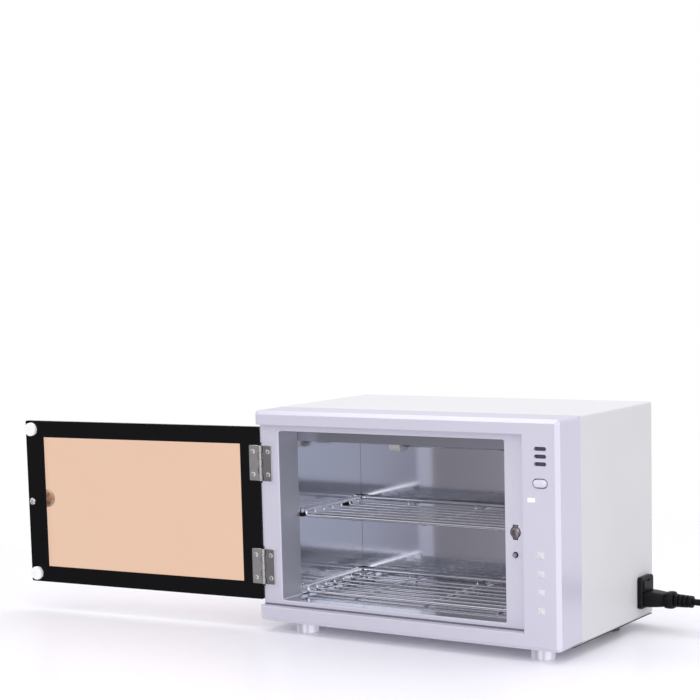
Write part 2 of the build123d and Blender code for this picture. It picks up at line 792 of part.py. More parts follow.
with BuildPart() as board_screws:
    with BuildSketch(facing(board_y + board_thickness)):
        with Locations(*strip_posts, *column_posts):
            Circle(board_screw_head_radius)
    extrude(amount=-board_screw_head)
    with BuildSketch(facing(board_y + board_thickness)):
        with Locations(*strip_posts, *column_posts):
            Circle(screw_radius)
    extrude(amount=board_thickness + post_hole - 1)
keep(board_screws, "board_screws")

with BuildPart() as power_switch:
    with BuildSketch(facing(board_y)):
        with Locations(button_spot):
            Rectangle(switch_width, switch_height)
    extrude(amount=board_y - switch_front)
keep(power_switch, "power_switch")

with BuildPart() as power_button:
    with BuildSketch(facing(front - button_proud)):
        with Locations(button_spot):
            SlotOverall(button_width, button_height)
    extrude(amount=-(button_proud + face_wall + part_gap + retainer))
    fillet(power_button.faces().sort_by(Axis.Y)[0].edges(), button_proud * 0.6)
    with BuildSketch(facing(front + face_wall + part_gap)):
        with Locations(button_spot):
            SlotOverall(button_width + 2 * retainer_lip, button_height + 2 * retainer_lip)
    extrude(amount=-retainer)
    with BuildSketch(facing(front + face_wall + part_gap)):
        with Locations(button_spot):
            Circle(stem_radius)
    extrude(amount=-(switch_front - button_travel - part_gap - front - face_wall - part_gap))
keep(power_button, "power_button")

with BuildPart() as interlock_switch:
    with BuildSketch(facing(board_y)):
        with Locations(plunger_spot):
            Rectangle(snap_width, snap_height)
    extrude(amount=board_y - snap_front)
keep(interlock_switch, "interlock_switch")

with BuildPart() as interlock_plunger:
    with BuildSketch(facing(recess_y - bumper_thickness)):
        with Locations(plunger_spot):
            Circle(plunger_radius)
    extrude(amount=-(bumper_thickness + bezel_wall + part_gap))
    fillet(interlock_plunger.faces().sort_by(Axis.Y)[0].edges(), plunger_radius * 0.6)
    with BuildSketch(facing(strip_back + part_gap)):
        with Locations(plunger_spot):
            Circle(plunger_radius + plunger_gap + retainer_lip)
    extrude(amount=-retainer)
    with BuildSketch(facing(strip_back + part_gap)):
        with Locations(plunger_spot):
            Circle(stem_radius)
    extrude(amount=-(snap_front - plunger_travel - part_gap - strip_back - part_gap))
keep(interlock_plunger, "interlock_plunger")

lens_proud = 0.3
lens_lip = 1.0
with BuildPart() as indicator_lens:
    with BuildSketch(facing(front - lens_proud)):
        with Locations(lens_spot):
            Rectangle(lens_width, lens_height)
    extrude(amount=-(lens_proud + face_wall))
    with BuildSketch(facing(front + face_wall)):
        with Locations(lens_spot):
            Rectangle(lens_width + 2 * lens_lip, lens_height + 2 * lens_lip)
    extrude(amount=-lens_lip)
keep(indicator_lens, "indicator_lens")

lamp_dome_radius = 2.5
with BuildPart() as indicator_lamp:
    with BuildSketch(facing(board_y)):
        with Locations(lens_spot):
            Circle(lamp_dome_radius)
    extrude(amount=board_y - front - face_wall - 2 * lens_lip)
    fillet(indicator_lamp.faces().sort_by(Axis.Y)[0].edges(), lamp_dome_radius * 0.9)
keep(indicator_lamp, "indicator_lamp")

magnet_gap = 0.8
magnet_depth = 8.0
catch_housing_width = 17.0
catch_housing_height = 24.0
catch_housing_depth = 8.0
with BuildPart() as catch_housing:
    with BuildSketch(facing(strip_back)):
        with Locations(catch_spot):
            Rectangle(catch_housing_width, catch_housing_height)
    extrude(amount=-catch_housing_depth)
    with BuildSketch(facing(strip_back)):
        with Locations(catch_spot):
            Circle(catch_radius - magnet_gap + running_gap)
            Rectangle(catch_lobe_width - 2 * (magnet_gap - running_gap),
                      catch_lobe_height - 2 * (magnet_gap - running_gap))
    extrude(amount=-(recess_y + magnet_depth - strip_back), mode=Mode.SUBTRACT)
keep(catch_housing, "catch_housing")

with BuildPart() as catch_magnet:
    with BuildSketch(facing(recess_y - catch_proud)):
        with Locations(catch_spot):
            Circle(catch_radius - magnet_gap)
            Rectangle(catch_lobe_width - 2 * magnet_gap, catch_lobe_height - 2 * magnet_gap)
    extrude(amount=-(catch_proud + magnet_depth))
    chamfer(catch_magnet.faces().sort_by(Axis.Y)[0].edges(), catch_proud / 3)
keep(catch_magnet, "catch_magnet")


# ---- hinges ----
knuckle_pitch = leaf_length / knuckle_count
leaf_start = face_offset + part_gap           # a leaf's plate starts clear of the other leaf's knuckles
sink_radius = 2.5
sink_angle = 82.0
leaf_corner = 1.5

for leaf_name, lift in zip(("hinge_frame_leaf_upper", "hinge_frame_leaf_lower"), hinge_lifts):
    leaf_low = base + lift - leaf_length / 2
    with BuildPart() as leaf:
        with BuildSketch(facing(axis_y + face_offset)):
            span(axis_x + leaf_start, axis_x + leaf_width, leaf_low, leaf_low + leaf_length)
        extrude(amount=leaf_thickness)
        fillet(leaf.edges().filter_by(Axis.Y).group_by(Axis.X)[-1], leaf_corner)
        for index in range(0, knuckle_count, 2):
            with BuildSketch(Plane.XY.offset(leaf_low + index * knuckle_pitch + knuckle_gap / 2)):
                with Locations((axis_x, axis_y)):
                    Circle(face_offset)
                span(axis_x, axis_x + leaf_start + leaf_thickness, axis_y + leaf_gap / 2, axis_y + face_offset)
            extrude(amount=knuckle_pitch - knuckle_gap)
        with BuildSketch(Plane.XY.offset(leaf_low)):
            with Locations((axis_x, axis_y)):
                Circle(pin_radius + running_gap / 2)
        extrude(amount=leaf_length, mode=Mode.SUBTRACT)
        spots = [(axis_x + leaf_screw_x, base + lift + side * leaf_screw_offset) for side in (-1, 1)]
        with Locations(*[Plane(origin=(x, axis_y + leaf_gap / 2, z), x_dir=(1, 0, 0), z_dir=(0, -1, 0))
                         for x, z in spots]):
            CounterSinkHole(screw_radius + screw_gap, sink_radius, depth=leaf_thickness,
                            counter_sink_angle=sink_angle)
    keep(leaf, leaf_name)

for leaf_name, lift in zip(("hinge_door_leaf_upper", "hinge_door_leaf_lower"), hinge_lifts):
    leaf_low = base + lift - leaf_length / 2
    with BuildPart() as leaf:
        with BuildSketch(door_plane(face_offset)):
            span(leaf_start, leaf_width, leaf_low, leaf_low + leaf_length)
        extrude(amount=-leaf_thickness)
        across = leaf.edges().filter_by(Axis((0, 0, 0), door_outward))
        fillet(across.group_by(Axis((0, 0, 0), door_along))[-1], leaf_corner)
        for index in range(1, knuckle_count, 2):
            knuckle_low = leaf_low + index * knuckle_pitch + knuckle_gap / 2
            with BuildSketch(Plane(origin=(axis_x, axis_y, knuckle_low), x_dir=door_along, z_dir=(0, 0, 1))):
                Circle(face_offset)
                span(0, leaf_start + leaf_thickness, -face_offset, -leaf_gap / 2)
            extrude(amount=knuckle_pitch - knuckle_gap)
        with BuildSketch(Plane.XY.offset(leaf_low)):
            with Locations((axis_x, axis_y)):
                Circle(pin_radius + running_gap)
        extrude(amount=leaf_length, mode=Mode.SUBTRACT)
        with Locations(*[Plane(origin=door_point(leaf_screw_x, base + lift + side * leaf_screw_offset,
                                                 leaf_gap / 2),
                               x_dir=door_along, z_dir=(sin(open_tilt), -cos(open_tilt), 0))
                         for side in (-1, 1)]):
            CounterSinkHole(screw_radius + screw_gap, sink_radius, depth=leaf_thickness,
                            counter_sink_angle=sink_angle)
    keep(leaf, leaf_name)

with BuildPart() as hinge_pins:
    for lift in hinge_lifts:
        with BuildSketch(Plane.XY.offset(base + lift - leaf_length / 2)):
            with Locations((axis_x, axis_y)):
                Circle(pin_radius)
        extrude(amount=leaf_length)
keep(hinge_pins, "hinge_pins")

screw_head_height = 1.2
frame_screw_length = 6.0
door_screw_length = 4.4
sink_gap = 0.15
frame_screw_planes = [Plane(origin=(x, axis_y + leaf_gap / 2, z), x_dir=(1, 0, 0), z_dir=(0, 1, 0))
                      for x, z in frame_screw_spots]
door_screw_planes = [Plane(origin=door_point(leaf_screw_x, base + lift + side * leaf_screw_offset, leaf_gap / 2),
                           x_dir=door_along, z_dir=door_outward)
                     for lift in hinge_lifts for side in (-1, 1)]
for screws_name, screw_planes, screw_length in (("hinge_frame_screws", frame_screw_planes, frame_screw_length),
                                                ("hinge_door_screws", door_screw_planes, door_screw_length)):
    with BuildPart() as screws:
        with Locations(*screw_planes):
            Cone(sink_radius - sink_gap, screw_radius, screw_head_height,
                 align=(Align.CENTER, Align.CENTER, Align.MIN))
            Cylinder(screw_radius, screw_length, align=(Align.CENTER, Align.CENTER, Align.MIN))
    keep(screws, screws_name)


# ---- door ----
door_low = base + door_lift
door_high = door_low + door_height
door_middle = ((door_heel + door_reach) / 2, (door_low + door_high) / 2)
knob_z = base + knob_lift
door_screw_spots = [(leaf_screw_x, base + lift + side * leaf_screw_offset)
                    for lift in hinge_lifts for side in (-1, 1)]
bumper_spots = [(bumper_along, door_low + bumper_margin), (bumper_along, door_high - bumper_margin)]

with BuildPart() as door_border:
    with BuildSketch(door_plane(face_offset)):
        with Locations(door_middle):
            RectangleRounded(door_reach - door_heel, door_height, door_corner)
        span(door_heel + window_margin_hinge, door_reach - window_margin_free,
             door_low + window_margin_low, door_high - window_margin_high, mode=Mode.SUBTRACT)
        with Locations(*door_screw_spots):
            Circle(screw_radius + screw_gap, mode=Mode.SUBTRACT)
        with Locations((knob_along, knob_z)):
            Circle(knob_screw_radius + screw_gap, mode=Mode.SUBTRACT)
    extrude(amount=border_film)
keep(door_border, "door_border")

with BuildPart() as door_panel:
    with BuildSketch(door_plane(face_offset + border_film)):
        with Locations(door_middle):
            RectangleRounded(door_reach - door_heel, door_height, door_corner)
        with Locations((knob_along, knob_z)):
            Circle(knob_screw_radius + screw_gap, mode=Mode.SUBTRACT)
    extrude(amount=door_thickness - border_film)
    with BuildSketch(door_plane(face_offset + border_film)):
        with Locations(*door_screw_spots):
            Circle(screw_radius + screw_gap)
    extrude(amount=door_screw_length - leaf_thickness, mode=Mode.SUBTRACT)
keep(door_panel, "door_panel")

knob_face = face_offset + door_thickness
knob_thread_depth = 9.0
knob_rim = 4.0
knob_edge = 1.5               # from the widest ring in to the crown's edge
knob_crown = 1.2              # height of the crown
knob_waist = knob_height - 2 * knob_rim
knob_crown_radius = ((knob_radius - knob_edge) ** 2 + knob_crown ** 2) / (2 * knob_crown)
knob_crown_turn = asin((knob_radius - knob_edge) / knob_crown_radius) / 2
knob_origin = door_point(knob_along, knob_z, knob_face)
with BuildPart() as door_knob:
    with BuildSketch(Plane(origin=knob_origin, x_dir=door_along, z_dir=(0, 0, -1))):
        with BuildLine():
            Polyline((0, knob_thread_depth), (knob_screw_radius + screw_gap, knob_thread_depth),
                     (knob_screw_radius + screw_gap, 0), (knob_neck_radius, 0),
                     (knob_neck_radius - 1, knob_waist - 2), (knob_radius - 1, knob_waist + 1))
            ThreePointArc((knob_radius - 1, knob_waist + 1), (knob_radius, knob_height - knob_rim),
                          (knob_radius - knob_edge, knob_height - knob_crown))
            ThreePointArc((knob_radius - knob_edge, knob_height - knob_crown),
                          (knob_crown_radius * sin(knob_crown_turn),
                           knob_height - knob_crown_radius * (1 - cos(knob_crown_turn))),
                          (0, knob_height))
            Line((0, knob_height), (0, knob_thread_depth))
        make_face()
    revolve(axis=Axis(knob_origin, door_outward))
keep(door_knob, "door_knob")

with BuildPart() as knob_screw:
    with BuildSketch(door_plane(face_offset)):
        with Locations((knob_along, knob_z)):
            Circle(knob_screw_head_radius)
    extrude(amount=-knob_screw_head)
    fillet(knob_screw.faces().sort_by(Axis((0, 0, 0), door_outward))[0].edges(), knob_screw_head * 0.6)
    with BuildSketch(door_plane(face_offset)):
        with Locations((knob_along, knob_z)):
            Circle(knob_screw_radius)
    extrude(amount=door_thickness + knob_thread_depth - 1)
keep(knob_screw, "knob_screw")

with BuildPart() as bumper_pads:
    with BuildSketch(door_plane(face_offset)):
        with Locations(*bumper_spots):
            Circle(bumper_radius)
    extrude(amount=-bumper_thickness)
    fillet(bumper_pads.faces().sort_by(Axis((0, 0, 0), door_outward))[:2].edges(), 1.0)
keep(bumper_pads, "bumper_pads")


# ---- wire racks and their pegs ----
rim_left = opening_left + rack_side_gap + rim_radius
rim_right = opening_right - rack_side_gap - rim_radius


def wire(points, bends, radius):
    """Add a bent wire of round section to the current part, through corners rounded to the given radii."""
    with BuildLine() as path:
        FilletPolyline(*points, radius=bends)
    with BuildSketch(Plane(origin=path.line @ 0, z_dir=path.line % 0)) as section:
        Circle(radius)
    sweep(sections=section.sketch, path=path.line)


for rack_name, tray_z in (("upper_rack", base + upper_rack_lift),
                          ("lower_rack", opening_low + part_gap + rack_wire_radius + cross_sink)):
    rim_z = tray_z + rack_tray_depth
    rim_front = front + rack_front
    rim_back = front + rack_back
    with BuildPart() as rack:
        # rim: left, back and right
        wire([(rim_left, rim_front - rim_radius, rim_z), (rim_left, rim_back, rim_z),
              (rim_right, rim_back, rim_z), (rim_right, rim_front - rim_radius, rim_z)],
             [rack_bend + rim_radius] * 2, rim_radius)
        # front bar, then the long wires: their ends turn up to the rim
        bars = [(rim_front, front_bar_radius)]
        bars += [(rim_front + (index + 1) * rack_pitch, rack_wire_radius) for index in range(rack_wires)]
        for bar_y, bar_radius in bars:
            bar_left = rim_left + rim_radius + bar_radius - part_gap
            bar_right = rim_right - rim_radius - bar_radius + part_gap
            wire([(bar_left, bar_y, rim_z), (bar_left, bar_y, tray_z),
                  (bar_right, bar_y, tray_z), (bar_right, bar_y, rim_z)],
                 [rack_tray_depth * 0.7] * 2, bar_radius)
        # cross wires underneath: their back ends turn up to the rim
        cross_span = rim_right - cross_last - rim_left - cross_first
        for index in range(cross_count):
            cross_x = rim_left + cross_first + cross_span * index / (cross_count - 1)
            cross_back = rim_back - rim_radius - rack_wire_radius + part_gap
            wire([(cross_x, rim_front - 1, tray_z - cross_sink), (cross_x, cross_back, tray_z - cross_sink),
                  (cross_x, cross_back, rim_z)],
                 [rack_tray_depth * 0.7], rack_wire_radius)
    keep(rack, rack_name)

peg_top = base + upper_rack_lift + rack_tray_depth - rim_radius - part_gap
with BuildPart() as rack_pegs:
    for wall_x, inward in ((opening_left, 1), (opening_right, -1)):
        with BuildSketch(siding(wall_x)):
            for peg in (peg_front, peg_rear):
                with Locations((front + peg, peg_top - peg_height / 2)):
                    RectangleRounded(peg_length, peg_height, peg_height / 4)
        extrude(amount=inward * peg_reach)
keep(rack_pegs, "rack_pegs")


# ---- power inlet with its fuse drawer ----
connector_z = inlet_z - socket_drop
drawer_z = inlet_z + drawer_rise
flange_x = right + inlet_flange
flange_corner = 3.0
flange_bevel = 1.0
blade_thickness = 2.0
blade_height = 4.0
blade_pitch = 14.0
blade_drop = 2.0
blade_length = 12.0
tab_length = 5.0
drawer_proud = 0.8
fuse_radius = 2.5
fuse_length = 19.0
blade_spots = [(inlet_y - blade_pitch / 2, connector_z - blade_drop), (inlet_y, connector_z + blade_drop),
               (inlet_y + blade_pitch / 2, connector_z - blade_drop)]
socket_floor = flange_x - socket_depth

with BuildPart() as inlet_body:
    with BuildSketch(siding(right)):
        with Locations((inlet_y, inlet_z)):
            RectangleRounded(inlet_width, inlet_height, flange_corner)
    extrude(amount=inlet_flange)
    chamfer(inlet_body.faces().sort_by(Axis.X)[-1].edges(), flange_bevel)
    with BuildSketch(siding(right)):
        with Locations((inlet_y, inlet_z)):
            Rectangle(inlet_body_width, inlet_body_height)
    extrude(amount=-inlet_body_depth)
    with BuildSketch(siding(flange_x)):
        with Locations((inlet_y, connector_z)):
            RectangleRounded(nose_width + 2 * connector_gap, nose_height + 2 * connector_gap, connector_gap * 4)
    extrude(amount=-socket_depth, mode=Mode.SUBTRACT)
    with BuildSketch(siding(flange_x)):
        with Locations((inlet_y, drawer_z)):
            Rectangle(drawer_width + 2 * part_gap, drawer_height + 2 * part_gap)
    extrude(amount=-(drawer_depth + part_gap), mode=Mode.SUBTRACT)
    with BuildSketch(siding(socket_floor)):
        with Locations(*blade_spots):
            Rectangle(blade_thickness + 2 * running_gap, blade_height + 2 * running_gap)
    extrude(amount=-inlet_body_depth, mode=Mode.SUBTRACT)
keep(inlet_body, "inlet_body")

with BuildPart() as inlet_pins:
    with BuildSketch(siding(right - inlet_body_depth - tab_length)):
        with Locations(*blade_spots):
            Rectangle(blade_thickness, blade_height)
    extrude(amount=socket_floor + blade_length - right + inlet_body_depth + tab_length)
keep(inlet_pins, "inlet_pins")

with BuildPart() as fuse_drawer:
    with BuildSketch(siding(flange_x - drawer_depth)):
        with Locations((inlet_y, drawer_z)):
            Rectangle(drawer_width, drawer_height)
    extrude(amount=drawer_depth + drawer_proud)
    # pocket for the fuse, open at the top, and a notch for a screwdriver's tip
    with BuildSketch(Plane.XY.offset(drawer_z + drawer_height / 2)):
        with Locations((flange_x - drawer_depth / 2, inlet_y)):
            Rectangle(2 * fuse_radius + 1.0, fuse_length + 1.0)
    extrude(amount=-(drawer_height / 2 + fuse_radius), mode=Mode.SUBTRACT)
    with BuildSketch(siding(flange_x + drawer_proud)):
        with Locations((inlet_y, drawer_z + drawer_height / 2)):
            Rectangle(drawer_width / 3, drawer_height / 4)
    extrude(amount=-drawer_proud * 2, mode=Mode.SUBTRACT)
keep(fuse_drawer, "fuse_drawer")

with BuildPart() as fuse:
    with BuildSketch(facing(inlet_y - fuse_length / 2)):
        with Locations((flange_x - drawer_depth / 2, drawer_z)):
            Circle(fuse_radius)
    extrude(amount=-fuse_length)
keep(fuse, "fuse")


# ---- mains lead: connector, strain relief, free stretch, coil, tie and plug ----
connector_taper = 3.0
blade_slot_gap = 0.3
connector_end = flange_x + connector_length
relief_start = connector_end + relief_collar_length
relief_end = relief_start + relief_length
collar_width = 20.0
collar_height = 18.0
collar_round = 2.0
relief_wide = 7.2
relief_narrow = 6.3
rib_depth = 1.5

with BuildPart() as cord_connector:
    with BuildSketch(siding(flange_x)):
        with Locations((inlet_y, connector_z)):
            RectangleRounded(connector_width, connector_height, connector_taper)
    with BuildSketch(siding(connector_end)):
        with Locations((inlet_y, connector_z)):
            RectangleRounded(connector_width - connector_taper * 2, connector_height - connector_taper,
                             connector_taper)
    loft()
    with BuildSketch(siding(flange_x)):
        with Locations((inlet_y, connector_z)):
            RectangleRounded(nose_width, nose_height, connector_gap * 3)
    extrude(amount=-connector_nose)
    with BuildSketch(siding(flange_x - connector_nose)):
        with Locations(*blade_spots):
            Rectangle(blade_thickness + 2 * blade_slot_gap, blade_height + 2 * blade_slot_gap)
    extrude(amount=blade_length + blade_slot_gap, mode=Mode.SUBTRACT)
keep(cord_connector, "cord_connector")


def rib_profile(start, pitch, radius):
    """One rib's outline: a groove, a short slope, the rib's top, and a slope into the next groove."""
    return [(start, radius - rib_depth), (start + pitch * 0.2, radius - rib_depth),
            (start + pitch * 0.3, radius), (start + pitch * 0.9, radius)]


# the boot: a collar, then ribs that shrink towards the cord, turned about the cord's line
with BuildPart() as cord_relief:
    with BuildSketch(siding(connector_end)):
        with Locations((inlet_y, connector_z)):
            RectangleRounded(collar_width, collar_height, relief_narrow)
    extrude(amount=relief_collar_length)
    fillet(cord_relief.faces().sort_by(Axis.X)[-1].edges(), collar_round)
    rib_pitch = relief_length / relief_ribs
    rib_points = [(relief_start, 0)]
    for index in range(relief_ribs):
        rib_start = relief_start + index * rib_pitch
        rib_radius = relief_wide + (relief_narrow - relief_wide) * index / (relief_ribs - 1)
        rib_points += rib_profile(rib_start, rib_pitch, rib_radius)
    rib_points += [(relief_end, rib_radius - rib_depth), (relief_end, 0)]
    with BuildSketch(Plane(origin=(0, inlet_y, connector_z), x_dir=(1, 0, 0), z_dir=(0, -1, 0))):
        with BuildLine():
            Polyline(*rib_points, close=True)
        make_face()
    revolve(axis=Axis((0, inlet_y, connector_z), (1, 0, 0)))
keep(cord_relief, "cord_relief")

# The route's points are steps from the boot's end, chosen by hand; the last one lies at the coil's height.
coil_z = cord_radius + coil_lift
route_steps = [(0, 0), (24, 0), (52, 2), (82, 5), (112, 6), (138, 6)]
route_heights = [connector_z, connector_z, connector_z - 12, coil_z + 3.5, coil_z, coil_z]
lead_route = [Vector(relief_end + step[0], inlet_y + step[1], height)
              for step, height in zip(route_steps, route_heights)]


def corner_radii(points):
    """0.45 of the shorter run beside each corner, divided by the tangent of half the turn."""
    radii = []
    for before, corner, after in zip(points, points[1:], points[2:]):
        run_in, run_out = corner - before, after - corner
        half_turn = radians(run_in.get_angle(run_out)) / 2
        radii.append(0.45 * min(run_in.length, run_out.length) * cos(half_turn) / sin(half_turn))
    return radii


lead_radii = corner_radii(lead_route)
with BuildPart() as cord_lead:
    with BuildLine() as lead_path:
        FilletPolyline(*lead_route, radius=lead_radii)
    with BuildSketch(Plane(origin=lead_path.line @ 0, z_dir=lead_path.line % 0)):
        Circle(cord_radius)
    sweep(path=lead_path.line)
keep(cord_lead, "cord_lead")
lead_length = lead_path.wires()[0].length
print("lead radii", [round(radius, 1) for radius in lead_radii])
print("lead length", round(lead_length, 1), "volume over section times length",
      round(cord_lead.part.volume / (pi * cord_radius ** 2 * lead_length), 4))

# The coil: quarter turns whose radius shrinks by a quarter of the pitch, a half turn that climbs one layer,
# then quarter turns that grow again. Each quarter is one arc, tangent to the last.
coil_step = coil_pitch / 4
coil_start = lead_route[-1]
coil_heading = (lead_route[-1] - lead_route[-2]).normalized()
coil_outer_radius = coil_inner_radius + coil_step * coil_quarters
upward = Vector(0, 0, 1)


def quarter_turn(start, heading, reach_on, reach_aside):
    """The middle and end of an arc that turns a quarter: it runs on by one vector and aside by the other."""
    middle = start + reach_on * sin(pi / 4) + reach_aside * (1 - cos(pi / 4))
    return middle, start + reach_on + reach_aside


arc_ends = []
spot = coil_start + coil_heading * (2 * cord_radius)
heading = coil_heading
coil_first = spot
for index in range(2 * coil_quarters + 2):
    aside = upward.cross(heading)
    if index < coil_quarters:
        radius = coil_outer_radius - index * coil_step
    else:
        radius = coil_inner_radius + max(index - coil_quarters - 1, 0) * coil_step
    if index == coil_quarters:
        # first quarter of the climb: it ends halfway up, along a heading that climbs
        climb = sqrt(radius ** 2 + coil_layer_rise ** 2 / 4)
        way_out = (aside * radius + upward * (coil_layer_rise / 2)) * (1 / climb)
        middle, end = quarter_turn(spot, heading, heading * climb, way_out * climb)
        next_heading = aside
    elif index == coil_quarters + 1:
        flat_out = aside
        way_in = (heading * radius + upward * (coil_layer_rise / 2)) * (1 / climb)
        middle, end = quarter_turn(spot, heading, way_in * climb, flat_out * climb)
        next_heading = aside
    else:
        middle, end = quarter_turn(spot, heading, heading * radius, aside * radius)
        next_heading = aside
    arc_ends.append((spot, middle, end))
    spot, heading = end, next_heading
coil_last = spot
coil_tail = 10.0
coil_end = spot + heading * coil_tail

with BuildPart() as cord_coil:
    with BuildLine() as coil_path:
        Line(coil_start, coil_first)
        for start, middle, end in arc_ends:
            ThreePointArc(start, middle, end)
        Line(coil_last, coil_end)
    with BuildSketch(Plane(origin=coil_start, z_dir=coil_heading)):
        Circle(cord_radius)
    sweep(path=coil_path.line)
keep(cord_coil, "cord_coil")
coil_line = coil_path.wires()[0]
coil_length = coil_line.length
samples = 900
line_points = [coil_line @ (index / samples) for index in range(samples + 1)]
apart = int(samples * 40 / coil_length)
least_gap = min((line_points[i] - line_points[j]).length
                for i in range(0, samples + 1, 2) for j in range(i + apart, samples + 1, 2)) - 2 * cord_radius
print("coil length", round(coil_length, 1), "least gap to itself", round(least_gap, 2),
      "volume over section times length", round(cord_coil.part.volume / (pi * cord_radius ** 2 * coil_length), 4))

# a strap round the bundle on the coil's far side
tie_thickness = 0.8
tie_width = 8.0
tie_gap = 0.5
tie_y = coil_first.Y + coil_outer_radius - coil_step
tied = [point for point in line_points if abs(point.Y - tie_y) < tie_width / 2 and point.X > coil_first.X]
tie_reach = cord_radius + tie_gap
tie_left = min(point.X for point in tied) - tie_reach
tie_right = max(point.X for point in tied) + tie_reach
tie_low = min(point.Z for point in tied) - tie_reach
tie_high = max(point.Z for point in tied) + tie_reach
with BuildPart() as coil_tie:
    with BuildSketch(facing(tie_y - tie_width / 2)):
        with Locations(((tie_left + tie_right) / 2, (tie_low + tie_high) / 2)):
            RectangleRounded(tie_right - tie_left + 2 * tie_thickness, tie_high - tie_low + 2 * tie_thickness,
                             tie_reach)
            RectangleRounded(tie_right - tie_left, tie_high - tie_low, tie_reach - tie_thickness,
                             mode=Mode.SUBTRACT)
    extrude(amount=-tie_width)
keep(coil_tie, "coil_tie")

# the plug beside the coil: its boot starts at the cord's end, and its pins point back along the floor
plug_boot_length = 24.0
plug_body_length = 32.0
plug_width = 25.0
plug_half_height = coil_end.Z - 0.2
plug_corner = 6.0
boot_wide = 8.0
boot_narrow = 5.2
boot_ribs = 5
boot_end = coil_end.X - running_gap
pin_start = boot_end - plug_boot_length - plug_body_length
with BuildPart() as mains_plug:
    with BuildSketch(siding(pin_start)):
        with Locations((coil_end.Y, coil_end.Z)):
            RectangleRounded(plug_width, 2 * plug_half_height, plug_corner)
    extrude(amount=plug_body_length * 0.55)
    with BuildSketch(siding(pin_start + plug_body_length * 0.55)):
        with Locations((coil_end.Y, coil_end.Z)):
            RectangleRounded(plug_width, 2 * plug_half_height, plug_corner)
    with BuildSketch(siding(pin_start + plug_body_length)):
        with Locations((coil_end.Y, coil_end.Z)):
            RectangleRounded(boot_wide * 2 + 1, boot_wide * 2 + 1, plug_corner)
    loft()
    boot_pitch = plug_boot_length / boot_ribs
    boot_points = [(boot_end - plug_boot_length, 0)]
    for index in range(boot_ribs):
        rib_start = boot_end - plug_boot_length + index * boot_pitch
        rib_radius = boot_wide + (boot_narrow - boot_wide) * index / (boot_ribs - 1)
        boot_points += rib_profile(rib_start, boot_pitch, rib_radius)
    boot_points += [(boot_end, rib_radius - rib_depth), (boot_end, 0)]
    with BuildSketch(Plane(origin=(0, coil_end.Y, coil_end.Z), x_dir=(1, 0, 0), z_dir=(0, -1, 0))):
        with BuildLine():
            Polyline(*boot_points, close=True)
        make_face()
    revolve(axis=Axis((0, coil_end.Y, coil_end.Z), (1, 0, 0)))
keep(mains_plug, "mains_plug")

# two flat blades and a round earth pin
plug_blade = (1.5, 6.3, 17.0)
plug_blade_pitch = 12.7
earth_radius = 2.4
earth_length = 20.5
earth_drop = 6.0
blade_rise = 4.0
with BuildPart() as plug_pins:
    with BuildSketch(siding(pin_start)):
        for side in (-1, 1):
            with Locations((coil_end.Y + side * plug_blade_pitch / 2, coil_end.Z + blade_rise)):
                Rectangle(plug_blade[0], plug_blade[1])
    extrude(amount=-plug_blade[2])
    with BuildSketch(siding(pin_start)):
        with Locations((coil_end.Y, coil_end.Z - earth_drop)):
            Circle(earth_radius)
    extrude(amount=-earth_length)
    fillet(plug_pins.faces().sort_by(Axis.X)[0].edges(), earth_radius * 0.9)
keep(plug_pins, "plug_pins")
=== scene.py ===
import json
import math

import bmesh
import bpy
import numpy as np
from mathutils import Matrix, Vector


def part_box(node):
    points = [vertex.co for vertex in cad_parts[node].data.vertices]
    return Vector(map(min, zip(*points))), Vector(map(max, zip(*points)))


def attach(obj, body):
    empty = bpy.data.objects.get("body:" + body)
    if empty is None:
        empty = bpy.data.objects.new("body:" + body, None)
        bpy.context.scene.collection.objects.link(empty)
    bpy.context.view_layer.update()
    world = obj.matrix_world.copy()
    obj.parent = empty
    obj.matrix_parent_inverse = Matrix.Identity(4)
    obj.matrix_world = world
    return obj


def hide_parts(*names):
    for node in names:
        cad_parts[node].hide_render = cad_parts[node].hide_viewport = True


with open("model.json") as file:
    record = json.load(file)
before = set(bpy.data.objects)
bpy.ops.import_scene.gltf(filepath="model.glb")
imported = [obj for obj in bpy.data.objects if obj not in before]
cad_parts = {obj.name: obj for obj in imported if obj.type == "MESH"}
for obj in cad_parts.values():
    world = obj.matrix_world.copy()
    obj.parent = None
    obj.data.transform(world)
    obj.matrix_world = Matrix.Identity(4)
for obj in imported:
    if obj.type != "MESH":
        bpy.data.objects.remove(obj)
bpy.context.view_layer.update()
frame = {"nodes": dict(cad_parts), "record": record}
nodes = frame["nodes"]
print("frame loaded:", len(nodes), "nodes")

mm = 0.001
corner = np.array(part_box("front_bezel")[0])     # the case's front left bottom corner, from which sizes count


# places counted from the corner in millimetres, as places in the frame in metres
def fromCorner(places):
    return corner + np.asarray(places, float) * mm


# camera: stands to the right of the cabinet and a little above it
view = {"place": (1120.0, -1514.9, 387.7), "yaw": 0.5818, "pitch": 0.1144, "roll": -0.0250,
        "focal": 1748.885, "drop": 112.06, "picture": 700, "sensor": 36, "reach": 20}


